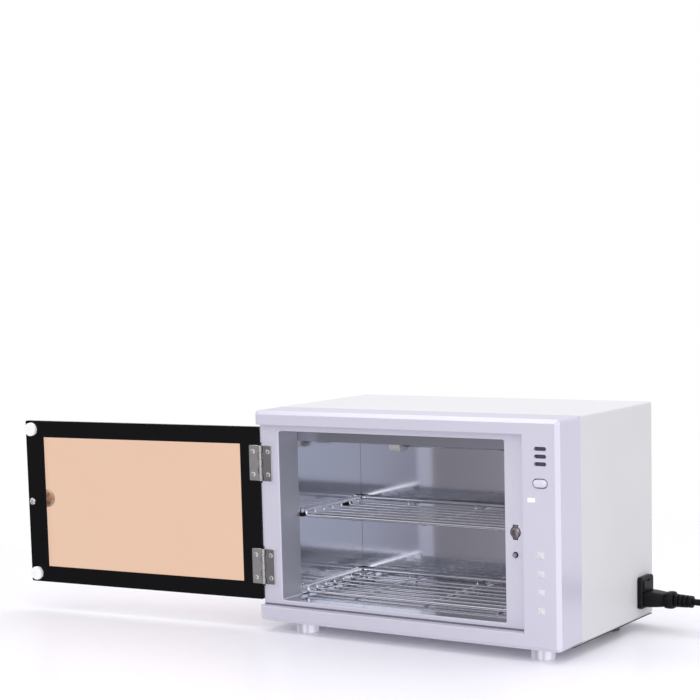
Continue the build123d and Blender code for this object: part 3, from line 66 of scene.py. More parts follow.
# looks along +Y turned left by yaw, then down by pitch, then rolled about its own line of sight
def placeCamera(view):
    sinYaw, cosYaw = math.sin(view["yaw"]), math.cos(view["yaw"])
    sinPitch, cosPitch = math.sin(view["pitch"]), math.cos(view["pitch"])
    sinRoll, cosRoll = math.sin(view["roll"]), math.cos(view["roll"])
    level, aside = Vector((-sinYaw, cosYaw, 0)), Vector((cosYaw, sinYaw, 0))
    ahead = level * cosPitch - Vector((0, 0, sinPitch))
    upright = Vector((0, 0, cosPitch)) + level * sinPitch
    right = aside * cosRoll + upright * sinRoll
    above = upright * cosRoll - aside * sinRoll
    data = bpy.data.cameras.new("photoCamera")
    data.sensor_width = view["sensor"]
    data.lens = view["focal"] / view["picture"] * view["sensor"]
    data.shift_y = view["drop"] / view["picture"]
    data.clip_end = view["reach"]
    camera = bpy.data.objects.new("photoCamera", data)
    turn = Matrix((right, above, -ahead)).transposed().to_4x4()
    camera.matrix_world = Matrix.Translation(Vector(fromCorner(view["place"]))) @ turn
    bpy.context.collection.objects.link(camera)
    bpy.context.scene.camera = camera


placeCamera(view)
print("camera placed")


# materials

# adds a shader node, sets its properties and socket values, and links sockets to its inputs
def addNode(tree, kind, values=None, links=None, **settings):
    node = tree.nodes.new("ShaderNode" + kind)
    for name, value in settings.items():
        setattr(node, name, value)
    for name, value in (values or {}).items():
        node.inputs[name].default_value = value
    for name, socket in (links or {}).items():
        tree.links.new(socket, node.inputs[name])
    return node


# an sRGB hex value as linear light
def hexColour(code):
    parts = np.array([int(code[i:i + 2], 16) for i in (1, 3, 5)]) / 255
    linear = np.where(parts <= 0.04045, parts / 12.92, ((parts + 0.055) / 1.055) ** 2.4)
    return (*linear.tolist(), 1.0)


# two near colours mixed in soft patches, roughness between two values, and a fine bump, all in object space
def surfaceMaterial(name, recipe):
    material = bpy.data.materials.new(name)
    material.use_nodes = True
    tree = material.node_tree
    tree.nodes.clear()
    place = addNode(tree, "TexCoord").outputs["Object"]
    stretched = addNode(tree, "Mapping", {"Scale": recipe.get("stretch", (1, 1, 1))}, {"Vector": place})
    patches = addNode(tree, "TexNoise", {"Scale": 1 / (recipe["patch"] * mm), "Detail": 3.0},
                      {"Vector": stretched.outputs["Vector"]})
    grit = addNode(tree, "TexNoise", {"Scale": 1 / (recipe["grit"] * mm), "Detail": 2.0},
                   {"Vector": stretched.outputs["Vector"]})
    colour = addNode(tree, "Mix", {"A": hexColour(recipe["light"]), "B": hexColour(recipe["dark"])},
                     {"Factor": patches.outputs["Fac"]}, data_type="RGBA")
    rough = addNode(tree, "MapRange", {"To Min": recipe["rough"][0], "To Max": recipe["rough"][1]},
                    {"Value": patches.outputs["Fac"]})
    bump = addNode(tree, "Bump", {"Strength": recipe.get("bump", 0.3), "Distance": recipe["depth"] * mm},
                   {"Height": grit.outputs["Fac"]})
    shader = addNode(tree, "BsdfPrincipled", recipe.get("sockets"),
                     {"Base Color": colour.outputs["Result"], "Roughness": rough.outputs["Result"],
                      "Normal": bump.outputs["Normal"]})
    addNode(tree, "OutputMaterial", links={"Surface": shader.outputs["BSDF"]})
    return material


plastics = {
    # injection-moulded ABS, sprayed pale silver: even, a soft sheen, a very slight orange peel
    "silverAbs": {"light": "#dedce9", "dark": "#d9d7e5", "patch": 60, "grit": 0.9, "depth": 0.02,
                  "rough": (0.28, 0.34), "sockets": {"IOR": 1.54, "Metallic": 0.25, "Coat Weight": 0.3,
                                                     "Coat Roughness": 0.12}},
    # feet: the same moulding with more of the silver spray, so the sides darken round the pillar
    "footAbs": {"light": "#e4e3ea", "dark": "#dcdbe4", "patch": 15, "grit": 0.8, "depth": 0.02,
                "rough": (0.34, 0.4), "sockets": {"IOR": 1.54, "Metallic": 0.7, "Coat Weight": 0.15,
                                                  "Coat Roughness": 0.2}},
    # the back pair: grey rubber, its dark tone painted shade for the shadow under the cabinet
    "paintedShadeRubber": {"light": "#5c5b68", "dark": "#504f5c", "patch": 8, "grit": 0.5, "depth": 0.03,
                   "rough": (0.45, 0.55), "sockets": {"IOR": 1.5, "Specular IOR Level": 0.3}},
    # grey bead in the joint round the recess: its dark tone is painted shade for the gap there
    "gapShadeGrey": {"light": "#747280", "dark": "#6c6a78", "patch": 20, "grit": 0.6, "depth": 0.01,
                  "rough": (0.5, 0.6), "sockets": {"IOR": 1.5, "Specular IOR Level": 0.2}},
    # white glazed-looking lamp holders: moulded polycarbonate with a hard gloss
    "whitePolycarbonate": {"light": "#f0efec", "dark": "#e8e7e3", "patch": 12, "grit": 1.5, "depth": 0.01,
                           "rough": (0.18, 0.24), "sockets": {"IOR": 1.58}},
    # black moulded nylon: spark-eroded texture, soft grey highlights; on the hem line and the button's flange
    # its black is painted shade
    "blackNylon": {"light": "#0a0a0b", "dark": "#070708", "patch": 8, "grit": 0.35, "depth": 0.03,
                   "rough": (0.34, 0.44), "sockets": {"IOR": 1.53, "Specular IOR Level": 0.2}},
    # extruded PVC of the lead and the moulded grips on it: smooth and slightly waxy
    "blackPvc": {"light": "#09090a", "dark": "#060607", "patch": 14, "grit": 0.6, "depth": 0.02,
                 "rough": (0.3, 0.4), "sockets": {"IOR": 1.52, "Specular IOR Level": 0.16}},
    # pressed self-adhesive vinyl pads: matt white
    "whiteVinyl": {"light": "#fcfcfc", "dark": "#f7f7f7", "patch": 6, "grit": 0.5, "depth": 0.03,
                   "rough": (0.55, 0.65), "sockets": {"IOR": 1.5}},
    # moulded push button: the case's colour with a harder gloss
    "buttonAbs": {"light": "#e3e1ec", "dark": "#dddbe7", "patch": 8, "grit": 0.8, "depth": 0.01,
                  "rough": (0.2, 0.26), "sockets": {"IOR": 1.54, "Coat Weight": 0.3, "Coat Roughness": 0.1}},
    # the accents on the column: moulded, lacquered high gloss, so each facet takes its own tone
    "glossAbs": {"light": "#fdfdfe", "dark": "#f9f9fc", "patch": 9, "grit": 1.2, "depth": 0.006,
                 "rough": (0.12, 0.16), "sockets": {"IOR": 1.54, "Metallic": 0.65, "Coat Weight": 0.5,
                                                    "Coat Roughness": 0.06}},
    # moulded pin of the interlock: grey and slightly glossy
    "greyAcetal": {"light": "#9493a0", "dark": "#8b8a97", "patch": 3, "grit": 0.4, "depth": 0.01,
                   "rough": (0.25, 0.35), "sockets": {"IOR": 1.48}},
    # dust screen behind the slots: pressed grey-blue felt
    "greyFelt": {"light": "#626276", "dark": "#525264", "patch": 2, "grit": 0.3, "depth": 0.1,
                 "rough": (0.85, 0.95), "sockets": {"IOR": 1.45, "Specular IOR Level": 0.1}},
    # opal lens: milky polystyrene; its faint white glow is painted light
    "opalLens": {"light": "#fbfbfd", "dark": "#f4f4f8", "patch": 4, "grit": 0.6, "depth": 0.01,
                 "rough": (0.2, 0.3), "sockets": {"IOR": 1.59, "Emission Strength": 0.12,
                                                  "Emission Color": (1, 1, 1, 1), "Subsurface Weight": 0.2,
                                                  "Subsurface Radius": (0.002, 0.002, 0.002)}},
    # small red light-emitting diode behind the lens
    "redEpoxy": {"light": "#b8322a", "dark": "#a42a22", "patch": 3, "grit": 0.5, "depth": 0.01,
                 "rough": (0.15, 0.2), "sockets": {"IOR": 1.55}},
    # glass-fibre laminate with green lacquer
    "greenLaminate": {"light": "#2f6a3c", "dark": "#285c34", "patch": 5, "grit": 0.7, "depth": 0.02,
                      "rough": (0.3, 0.4), "sockets": {"IOR": 1.5}},
    # woven hook-and-loop strap round the coil
    "wovenNylon": {"light": "#222224", "dark": "#17171a", "patch": 1.2, "grit": 0.6, "depth": 0.15,
                   "bump": 0.6, "rough": (0.75, 0.85), "sockets": {"IOR": 1.5, "Sheen Weight": 0.3}},
    # screen-printed border on the door's inner face: dense black ink under a smooth lacquer
    "printedInk": {"light": "#0b0b0c", "dark": "#080809", "patch": 30, "grit": 0.7, "depth": 0.008,
                   "rough": (0.3, 0.38), "sockets": {"IOR": 1.5, "Specular IOR Level": 0.12}},
}

metals = {
    # rolled sheet steel, powder coated warm white: slight orange peel
    "powderCoat": {"light": "#e2e2e3", "dark": "#dcdcdd", "patch": 70, "grit": 1.4, "depth": 0.05,
                   "rough": (0.42, 0.5), "sockets": {"IOR": 1.5}},
    # bright-rolled stainless sheet: rolling lines run front to back, a near mirror
    "brightStainless": {"light": "#d9dae0", "dark": "#d1d2d9", "patch": 60, "grit": 2.2, "depth": 0.0006,
                        "stretch": (1, 0.06, 1), "rough": (0.08, 0.11), "sockets": {"Metallic": 1.0}},
    # drawn wire, welded and nickel-chromium plated
    "platedWire": {"light": "#e6e6e9", "dark": "#dadade", "patch": 6, "grit": 0.8, "depth": 0.006,
                   "rough": (0.10, 0.16), "sockets": {"Metallic": 1.0}},
    # the baffle in front of the lamp: the same sheet, rougher, and darker as painted shade
    "baffleShadeStainless": {"light": "#a3a3ac", "dark": "#9a9aa3", "patch": 40, "grit": 1.1, "depth": 0.006,
                      "rough": (0.25, 0.33), "sockets": {"Metallic": 1.0}},
    # the doorway's reveal: the sheet brushed to a satin
    "satinStainless": {"light": "#d6d6de", "dark": "#cbcbd4", "patch": 50, "grit": 0.9, "depth": 0.004,
                       "stretch": (1, 1, 0.05), "rough": (0.42, 0.5), "sockets": {"Metallic": 0.8}},
    # keeper of the catch: cast steel under worn brownish nickel
    "castNickel": {"light": "#a09896", "dark": "#857c79", "patch": 3, "grit": 0.4, "depth": 0.02,
                   "rough": (0.16, 0.26), "sockets": {"Metallic": 1.0}},
    # pressed steel hinge leaves, nickel plated and tumbled
    "nickelPlate": {"light": "#c3c0bd", "dark": "#b2afab", "patch": 5, "grit": 0.5, "depth": 0.012,
                    "rough": (0.16, 0.24), "sockets": {"Metallic": 1.0}},
    # cold-headed screws, zinc plated
    "zincPlate": {"light": "#d3d1d2", "dark": "#c2c0c1", "patch": 2, "grit": 0.4, "depth": 0.008,
                  "rough": (0.16, 0.24), "sockets": {"Metallic": 1.0}},
    # turned brass blades, nickel plated
    "platedBrass": {"light": "#c9bf9c", "dark": "#b9ad86", "patch": 3, "grit": 0.3, "depth": 0.01,
                    "rough": (0.24, 0.32), "sockets": {"Metallic": 1.0}},
    # drawn aluminium caps and can
    "drawnAluminium": {"light": "#cfd0d2", "dark": "#c2c3c6", "patch": 6, "grit": 0.4, "depth": 0.01,
                       "rough": (0.26, 0.36), "sockets": {"Metallic": 1.0}},
    # ballast: stamped laminations dipped in grey varnish
    "varnishedSteel": {"light": "#5c5c5e", "dark": "#49494c", "patch": 9, "grit": 0.5, "depth": 0.05,
                       "rough": (0.4, 0.5), "sockets": {"IOR": 1.5}},
    # polished zinc casting, chrome plated
    "chromedZinc": {"light": "#d8d4d0", "dark": "#cecac6", "patch": 8, "grit": 0.6, "depth": 0.004,
                    "rough": (0.38, 0.44), "sockets": {"Metallic": 1.0}},
}

glasses = {
    # cast acrylic tinted peach all through: clear, smooth, wavy by a few hundredths
    "peachAcrylic": {"light": "#eecab2", "dark": "#edc7af", "patch": 80, "grit": 12, "depth": 0.002,
                     "bump": 0, "rough": (0.01, 0.02), "sockets": {"IOR": 1.49, "Transmission Weight": 1.0}},
    # drawn quartz tube: colourless
    "quartzGlass": {"light": "#f3f6f8", "dark": "#eef2f5", "patch": 10, "grit": 4, "depth": 0.005,
                    "rough": (0.02, 0.05), "sockets": {"IOR": 1.46, "Transmission Weight": 0.9}},
    # fuse glass: drawn soda-lime tube
    "fuseGlass": {"light": "#eef3ee", "dark": "#e8eee8", "patch": 4, "grit": 2, "depth": 0.005,
                  "rough": (0.02, 0.05), "sockets": {"IOR": 1.52, "Transmission Weight": 0.9}},
}

materials = {name: surfaceMaterial(name, recipe)
             for group in (plastics, metals, glasses) for name, recipe in group.items()}

slotMaterials = {"bezel_plastic": "silverAbs", "case_paint": "powderCoat",
                 "liner_steel": "brightStainless", "rack_steel": "platedWire", "screw_steel": "zincPlate",
                 "hinge_steel": "nickelPlate", "foot_plastic": "footAbs", "lamp_glass": "quartzGlass",
                 "lamp_metal": "drawnAluminium", "holder_plastic": "whitePolycarbonate",
                 "ballast_steel": "varnishedSteel", "board_laminate": "greenLaminate",
                 "black_plastic": "blackNylon", "button_plastic": "buttonAbs", "lens_plastic": "opalLens",
                 "led_plastic": "redEpoxy", "door_glass": "peachAcrylic", "border_ink": "printedInk",
                 "knob_metal": "chromedZinc", "pad_rubber": "whiteVinyl", "pin_brass": "platedBrass",
                 "stud_plastic": "glossAbs", "fuse_glass": "fuseGlass", "cord_pvc": "blackPvc",
                 "tie_fabric": "wovenNylon"}
# nodes that differ from the others in their slot; the baffle's darker steel is painted shade
ownMaterials = {"lamp_baffle": "baffleShadeStainless", "interlock_plunger": "greyAcetal"}
for part in frame["record"]["subparts"]:
    mesh = nodes[part["node"]].data
    mesh.materials.clear()
    mesh.materials.append(materials[ownMaterials.get(part["node"], slotMaterials[part["material_slot"]])])
print("materials made:", len(materials))


# mains lead: a free stretch from the boot down to the floor, then a tied coil out of view
lead = {"diameter": 7, "length": 1.49, "layerRise": 7.6,
        "route": ((422.5, 198.5, 21.5), (446.5, 198.5, 21.5), (474.5, 200.5, 9.5),
                  (504.5, 203.5, -3.6), (534.5, 204.5, -7.1), (560.5, 204.5, -7.1)),
        "outerRadius": 49.5, "innerRadius": 29.5, "perTurn": 16, "quarters": 10, "straight": 7, "tail": 10,
        "climbIn": 1.2, "climbShift": 2, "entry": 5, "coilOffset": 8}


# turns inward on the lower layer, half a turn that climbs, then outward on top: the radius runs straight with
# the quarters turned, less a sine on the climb, over a cosine because the curve cuts inside its points
def coilPoints(lead):
    start = np.array(lead["route"][-1])
    first = lead["quarters"]
    count = (2 * first + 2) * lead["perTurn"] // 4
    swept = (np.arange(count) + 0.5) / count * (2 * first + 2)           # in quarter turns
    climb = np.clip((swept - first) / 2, 0, 1)
    shrink = (lead["outerRadius"] - lead["innerRadius"]) / first
    radius = np.where(swept < first, lead["outerRadius"] - shrink * swept,
                      lead["innerRadius"] + shrink * np.maximum(swept - first - 2, 0))
    radius = (radius - lead["climbIn"] * np.sin(np.pi * climb)) / math.cos(math.pi / lead["perTurn"])
    angle = -np.pi / 2 + swept * np.pi / 2
    centre = start + (lead["coilOffset"], lead["outerRadius"], 0)
    return np.stack((centre[0] + radius * np.cos(angle),
                     centre[1] + lead["climbShift"] * climb + radius * np.sin(angle),
                     centre[2] + lead["layerRise"] * (1 - np.cos(np.pi * climb)) / 2), 1)


# a quadratic NURBS through the route's points, with a round section
def makeCord(name, points, diameter, material):
    data = bpy.data.curves.new(name, "CURVE")
    data.dimensions = "3D"
    data.bevel_depth = diameter / 2 * mm
    data.bevel_resolution = 6
    data.resolution_u = 8
    data.use_fill_caps = True
    spline = data.splines.new("NURBS")
    spline.points.add(len(points) - 1)
    spline.points.foreach_set("co", np.c_[fromCorner(points), np.ones(len(points))].ravel())
    spline.order_u = 3
    spline.use_endpoint_u = True
    data.materials.append(material)
    cord = bpy.data.objects.new(name, data)
    bpy.context.collection.objects.link(cord)
    return cord


routeEnd = np.array(lead["route"][-1])
tailEnd = routeEnd + (lead["straight"], lead["outerRadius"] * 2 + lead["climbShift"], lead["layerRise"])
points = np.vstack((lead["route"], routeEnd + (lead["entry"], 0, 0), coilPoints(lead),
                    tailEnd, tailEnd - (lead["tail"], 0, 0)))
cord = makeCord("mainsLead", points, lead["diameter"], materials["blackPvc"])
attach(cord, "cabinet")
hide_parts("cord_lead", "cord_coil")
print("cord laid")


# surfaces worked out with numpy, in millimetres from the corner

# rings of points across an axis: place + height * axis + radius * (cosine, sine), where both may change round
def ringed(radius, height, place, axis, sides=48):
    axis = np.array(axis, float) / np.linalg.norm(axis)
    side = np.cross(axis, (0, 0, 1) if abs(axis[2]) < 0.9 else (1, 0, 0))
    side = side / np.linalg.norm(side)
    angle = np.arange(sides) / sides * 2 * np.pi
    ring = np.cos(angle)[:, None] * side + np.sin(angle)[:, None] * np.cross(axis, side)
    radius = np.broadcast_to(radius, (len(radius), sides))
    height = np.broadcast_to(height, (len(height), sides))
    return np.array(place, float) + height[..., None] * axis + radius[..., None] * ring


# a profile of (radius, height) points turned about an axis
def turned(profile, place, axis, sides=48):
    profile = np.array(profile, float)
    return ringed(profile[:, :1], profile[:, 1:], place, axis, sides)


# straight runs whose corners are arcs: a sine along the first run, one less a cosine across it
def bent(points, radius, steps=6):
    points = np.array(points, float)
    runs = np.diff(points, axis=0)
    runs /= np.linalg.norm(runs, axis=1)[:, None]
    line = [points[:1]]
    for bend, runIn, runOut in zip(points[1:-1], runs, runs[1:]):
        along = float(runIn @ runOut)
        across = (runOut - runIn * along) / math.sqrt(1 - along * along)
        angle = np.linspace(0, math.acos(along), steps + 1)[:, None]
        start = bend - runIn * radius * math.tan(angle[-1, 0] / 2)
        line.append(start + radius * (np.sin(angle) * runIn + (1 - np.cos(angle)) * across))
    return np.concatenate(line + [points[-1:]])


# a round wire along a line that lies in one plane, closed at both ends
def tube(line, radius, normal, sides=16):
    steps = np.diff(line, axis=0)
    steps /= np.linalg.norm(steps, axis=1)[:, None]
    ahead = np.vstack((steps[:1], steps[:-1] + steps[1:], steps[-1:]))
    across = np.cross(ahead, normal)
    across /= np.linalg.norm(across, axis=1)[:, None]
    angle = np.arange(sides) / sides * 2 * np.pi
    ring = np.cos(angle)[:, None] * across[:, None] + np.sin(angle)[:, None] * np.array(normal, float)
    wall = line[:, None] + radius * ring
    ends = np.broadcast_to(line[[0, -1], None], (2, sides, 3))
    return np.concatenate((ends[:1], wall, ends[1:]))


# radius of a squared-off ring against the angle: (|cosine / half width|^n + |sine / half height|^n)^(-1/n)
def squareRing(halfWidth, halfHeight, power, sides=48):
    angle = np.arange(sides) / sides * 2 * np.pi
    wide, high, power = (np.array(value, float).reshape(-1, 1) for value in (halfWidth, halfHeight, power))
    return (np.abs(np.cos(angle) / wide) ** power + np.abs(np.sin(angle) / high) ** power) ** (-1 / power)


# a plate with rounded corners and a bevelled front edge: four quarter circles pushed apart, in rings that
# step forward and in, shut to a point at each end
def slab(plate, place, across, up, out, count=40):
    angle = (np.arange(count) + 0.5) / count * 2 * np.pi
    bevel, thickness = plate["bevel"], plate["thickness"]
    rounding = plate["corner"] - np.array((0, 0, 0, bevel, bevel))[:, None]
    scale = np.array((0, 1, 1, 1, 0))[:, None]
    depth = np.array((0, 0, thickness - bevel, thickness, thickness))[:, None, None]
    x = np.sign(np.cos(angle)) * (plate["width"] / 2 - plate["corner"]) + rounding * np.cos(angle)
    y = np.sign(np.sin(angle)) * (plate["height"] / 2 - plate["corner"]) + rounding * np.sin(angle)
    return (np.array(place, float) + (x * scale)[..., None] * np.array(across, float)
            + (y * scale)[..., None] * np.array(up, float) + depth * np.array(out, float))


# ribs of a moulded boot: a straight taper, less grooves where a cosine of the place along it is near 1
def ribbed(boot):
    run = np.linspace(0, boot["length"], boot["rows"])
    groove = np.clip(3 * np.cos(2 * np.pi * run / boot["length"] * boot["ribs"]) - 1.7, 0, 1)
    return boot["wide"] + (boot["narrow"] - boot["wide"]) * run / boot["length"] - boot["depth"] * groove, run


# a head with a cross recess on a plain shank: a shallow dome, less a cross whose walls fall over 0.12 mm and
# whose arms run out between 0.4 and 0.65 of the head's radius
def screw(kind, place, axis, rings=15, sides=56):
    reach = np.linspace(0, 1, rings)[:, None]
    angle = np.arange(sides) / sides * 2 * np.pi
    arm = kind["head"] * reach * np.minimum(np.abs(np.cos(angle)), np.abs(np.sin(angle)))
    cross = np.clip((kind["slot"] / 2 - arm) / 0.12 + 0.5, 0, 1) * np.clip(2.6 - 4 * reach, 0, 1)
    dome = kind["rise"] * (1 - reach ** 2) - kind["recess"] * cross
    below = np.array(kind["below"], float)
    radius = np.concatenate((np.broadcast_to(kind["head"] * reach, dome.shape),
                             np.broadcast_to(below[:, :1], (len(below), sides))))
    height = np.concatenate((dome, np.broadcast_to(below[:, 1:], (len(below), sides))))
    return ringed(radius, height, place, axis, sides)


# joins closed grids of points into one piece; rings that shrink to a point are merged, faces turned outwards
def makePiece(name, shells, material, body, replaced, sharp=32):
    faces, places, count = [], [], 0
    for shell in shells:
        rows, columns = shell.shape[:2]
        row, column = np.meshgrid(np.arange(rows - 1) * columns, np.arange(columns), indexing="ij")
        near, far = row + column + count, row + (column + 1) % columns + count
        faces.append(np.stack((near, far, far + columns, near + columns), -1).reshape(-1, 4))
        places.append(shell.reshape(-1, 3))
        count += rows * columns
    mesh = bpy.data.meshes.new(name)
    mesh.from_pydata(fromCorner(np.concatenate(places)), [], np.concatenate(faces))
    solid = bmesh.new()
    solid.from_mesh(mesh)
    bmesh.ops.remove_doubles(solid, verts=solid.verts, dist=1e-6)
    bmesh.ops.recalc_face_normals(solid, faces=solid.faces)
    solid.to_mesh(mesh)
    solid.free()
    mesh.polygons.foreach_set("use_smooth", np.ones(len(mesh.polygons), bool))
    mesh.set_sharp_from_angle(angle=math.radians(sharp))
    mesh.materials.append(materials[material])
    piece = bpy.data.objects.new(name, mesh)
    bpy.context.collection.objects.link(piece)
    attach(piece, body)
    if replaced:
        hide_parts(*replaced)
    return piece


# wire racks: a rim on three sides, a front bar, long wires turned up to the rim and cross wires underneath
rack = {"left": 26.5, "right": 296.4, "front": 52.0, "back": 170.0, "rim": 2.2, "bar": 1.9, "wire": 1.2,
        "pitch": 17.6, "wires": 6, "crossings": (92, 180, 268), "sink": 2.1, "depth": 5.0, "rimBend": 7.2,
        "wireBend": 3.5, "weld": 0.3, "overhang": 1, "trays": {"upper_rack": 111.0, "lower_rack": 26.1}}


# rim first, then the front bar and the long wires behind it, then the cross wires
def rackShells(rack, tray):
    left, right, front, back = (rack[side] for side in ("left", "right", "front", "back"))
    rimZ = tray + rack["depth"]
    shells = [tube(bent([(left, front - rack["rim"], rimZ), (left, back, rimZ), (right, back, rimZ),
                         (right, front - rack["rim"], rimZ)], rack["rimBend"]), rack["rim"], (0, 0, 1))]
    bars = [(front, rack["bar"])]
    bars += [(front + rack["pitch"] * (i + 1), rack["wire"]) for i in range(rack["wires"])]
    for y, radius in bars:
        near, far = left + rack["rim"] + radius - rack["weld"], right - rack["rim"] - radius + rack["weld"]
        shells.append(tube(bent([(near, y, rimZ), (near, y, tray), (far, y, tray), (far, y, rimZ)],
                                rack["wireBend"]), radius, (0, 1, 0)))
    for x in rack["crossings"]:
        end = back - rack["rim"] - rack["wire"] + rack["weld"]
        start, low = front - rack["overhang"], tray - rack["sink"]
        shells.append(tube(bent([(x, start, low), (x, end, low), (x, end, rimZ)], rack["wireBend"]),
                           rack["wire"], (1, 0, 0)))
    return shells


for body, tray in rack["trays"].items():
    makePiece(body + "Wires", rackShells(rack, tray), "platedWire", body, [body])
print("racks made")

# the open door: distances from its hinge axis along the panel, away from its inner face, and up
door = {"axis": (1.4, 8.4), "tilt": math.radians(4.8), "face": 1.7, "thickness": 5.0,
        "knob": (315.0, 116.5), "pads": ((312.3, 31.5), (312.3, 201.6)), "padRadius": 7.75, "padHeight": 4.6,
        "padBend": 0.8, "hinges": (58.3, 172.0), "leafScrew": (9.7, 12.5), "leafFace": 0.5}
doorAlong = np.array((-math.cos(door["tilt"]), -math.sin(door["tilt"]), 0))
doorOut = np.array((-math.sin(door["tilt"]), math.cos(door["tilt"]), 0))


def onDoor(along, depth, height):
    return np.array((*door["axis"], height)) + doorAlong * along + doorOut * depth


# turned knob: a waisted neck, a flared underside, a rolled rim and a low crown
knob = {"profile": [(0, 0), (5.5, 0), (4.4, 12), (4.6, 16.5), (9.3, 20.2), (10.5, 22), (10.5, 24.2),
                    (8.9, 26.2), (5.0, 26.85), (0, 27)], "bend": 0.9}
knobPlace = onDoor(door["knob"][0], door["face"] + door["thickness"], door["knob"][1])
makePiece("knobTurned", [turned(bent(knob["profile"], knob["bend"]), knobPlace, doorOut, sides=72)],
          "chromedZinc", "door", ["door_knob"], sharp=50)

# screws: head radius, rise of the dome, cross slot and recess, how far the head's edge stands above its seat,
# and the profile below that edge
leafScrew = {"head": 2.7, "rise": 0.4, "slot": 0.9, "recess": 0.9,
             "below": [(2.7, -0.15), (1.3, -1.0), (1.3, -4.4), (0, -4.4)]}
panelScrew = {"head": 3.2, "rise": 0.7, "slot": 1.0, "recess": 1.1, "seat": 1.3,
              "below": [(3.2, -0.2), (3.15, -1.3), (1.6, -1.3), (1.6, -7.3), (0, -7.3)]}
knobScrew = {"head": 4.0, "rise": 1.3, "slot": 1.3, "recess": 1.4, "seat": 1.6,
             "below": [(4.0, -0.3), (3.9, -1.6), (2.0, -1.6), (2.0, -14.6), (0, -14.6)]}
panel = {"back": 222.5,
         "screws": ((5.8, 115.15), (359.2, 115.15), (5.8, 224.5), (359.2, 224.5), (30, 6.5), (335, 6.5))}
along, rise = door["leafScrew"]
heights = [lift + side * rise for lift in door["hinges"] for side in (-1, 1)]
leafPlace = (door["axis"][0] + along, door["axis"][1] + door["leafFace"])
makePiece("frameLeafScrews", [screw(leafScrew, (*leafPlace, z), (0, -1, 0)) for z in heights],
          "zincPlate", "cabinet", ["hinge_frame_screws"])
makePiece("doorLeafScrews", [screw(leafScrew, onDoor(along, door["leafFace"], z), -doorOut) for z in heights],
          "zincPlate", "door", ["hinge_door_screws"])
makePiece("panelScrews", [screw(panelScrew, (x, panel["back"] + panelScrew["seat"], z), (0, 1, 0))
                          for x, z in panel["screws"]],
          "zincPlate", "cabinet", ["rear_screws"])
screwPlace = onDoor(door["knob"][0], door["face"] - knobScrew["seat"], door["knob"][1])
makePiece("knobScrewHead", [screw(knobScrew, screwPlace, -doorOut)],
          "zincPlate", "door", ["knob_screw"])

# bumper pads: flat discs with a rounded edge
pad = bent([(0, 0), (door["padRadius"], 0), (door["padRadius"], door["padHeight"]), (0, door["padHeight"])],
           door["padBend"])
makePiece("bumperDiscs", [turned(pad, onDoor(x, door["face"], z), -doorOut, sides=56)
                          for x, z in door["pads"]],
          "whiteVinyl", "door", ["bumper_pads"], sharp=50)
print("door pieces made")

# hinges: a bevelled leaf on each side, with knuckles that take turns round the pin
hinge = {"leaf": {"width": 12.6, "height": 39.0, "corner": 1.5, "thickness": 1.2, "bevel": 0.4},
         "curl": {"width": 3.6, "height": 7.5, "corner": 0.3, "thickness": 1.2, "bevel": 0.2},
         "leafMiddle": 8.3, "curlMiddle": 1.8, "knuckle": [(0, -3.75), (1.7, -3.75), (1.7, 3.75), (0, 3.75)],
         "knuckleBend": 0.3, "knuckles": 5, "pitch": 7.8, "back": 1.7}


# a leaf and every other knuckle: along is the leaf's way from the axis, and out is the way its face looks
def hingeShells(hinge, lift, first, along, out):
    middle, up = np.array((*door["axis"], lift)), (0, 0, 1)
    leafPlace = middle + along * hinge["leafMiddle"] - out * hinge["back"]
    shells = [slab(hinge["leaf"], leafPlace, along, up, out)]
    for index in range(first, hinge["knuckles"], 2):
        knuckle = middle + (0, 0, (index - hinge["knuckles"] // 2) * hinge["pitch"])
        curlPlace = knuckle + along * hinge["curlMiddle"] - out * hinge["back"]
        shells.append(turned(bent(hinge["knuckle"], hinge["knuckleBend"]), knuckle, up, sides=40))
        shells.append(slab(hinge["curl"], curlPlace, along, up, out))
    return shells


caseAlong, caseOut = np.array((1.0, 0, 0)), np.array((0, -1.0, 0))
for level, lift in zip(("lower", "upper"), door["hinges"]):
    makePiece("frameLeaf_" + level, hingeShells(hinge, lift, 0, caseAlong, caseOut),
              "nickelPlate", "cabinet", ["hinge_frame_leaf_" + level], sharp=25)
    makePiece("doorLeaf_" + level, hingeShells(hinge, lift, 1, doorAlong, -doorOut),
              "nickelPlate", "door", ["hinge_door_leaf_" + level], sharp=25)

# magnetic catch: a low steel dome between two lobes, and the black bush that guides the interlock's pin
catch = {"place": (310.8, 11.6, 115.5), "dome": [(0, -8), (4.9, -8), (5.2, 0), (3.4, 1.1), (0, 1.5)],
         "domeBend": 0.5, "lobesPlace": (310.8, 19.4, 115.5),
         "lobes": {"width": 4.4, "height": 13.7, "corner": 1.2, "thickness": 8.0, "bevel": 0.5},
         "bushPlace": (310.7, 11.6, 92.8),
         "bush": [(2.15, 0.1), (3.05, 0.1), (3.05, -2.5), (2.15, -2.5), (2.15, 0.1)]}
makePiece("catchPlate", [turned(bent(catch["dome"], catch["domeBend"]), catch["place"], (0, -1, 0), sides=56),
                         slab(catch["lobes"], catch["lobesPlace"], (1, 0, 0), (0, 0, 1), (0, -1, 0))],
          "castNickel", "cabinet", ["catch_magnet"])
makePiece("plungerBush", [turned(catch["bush"], catch["bushPlace"], (0, -1, 0), sides=40)],
          "blackNylon", "cabinet", [])
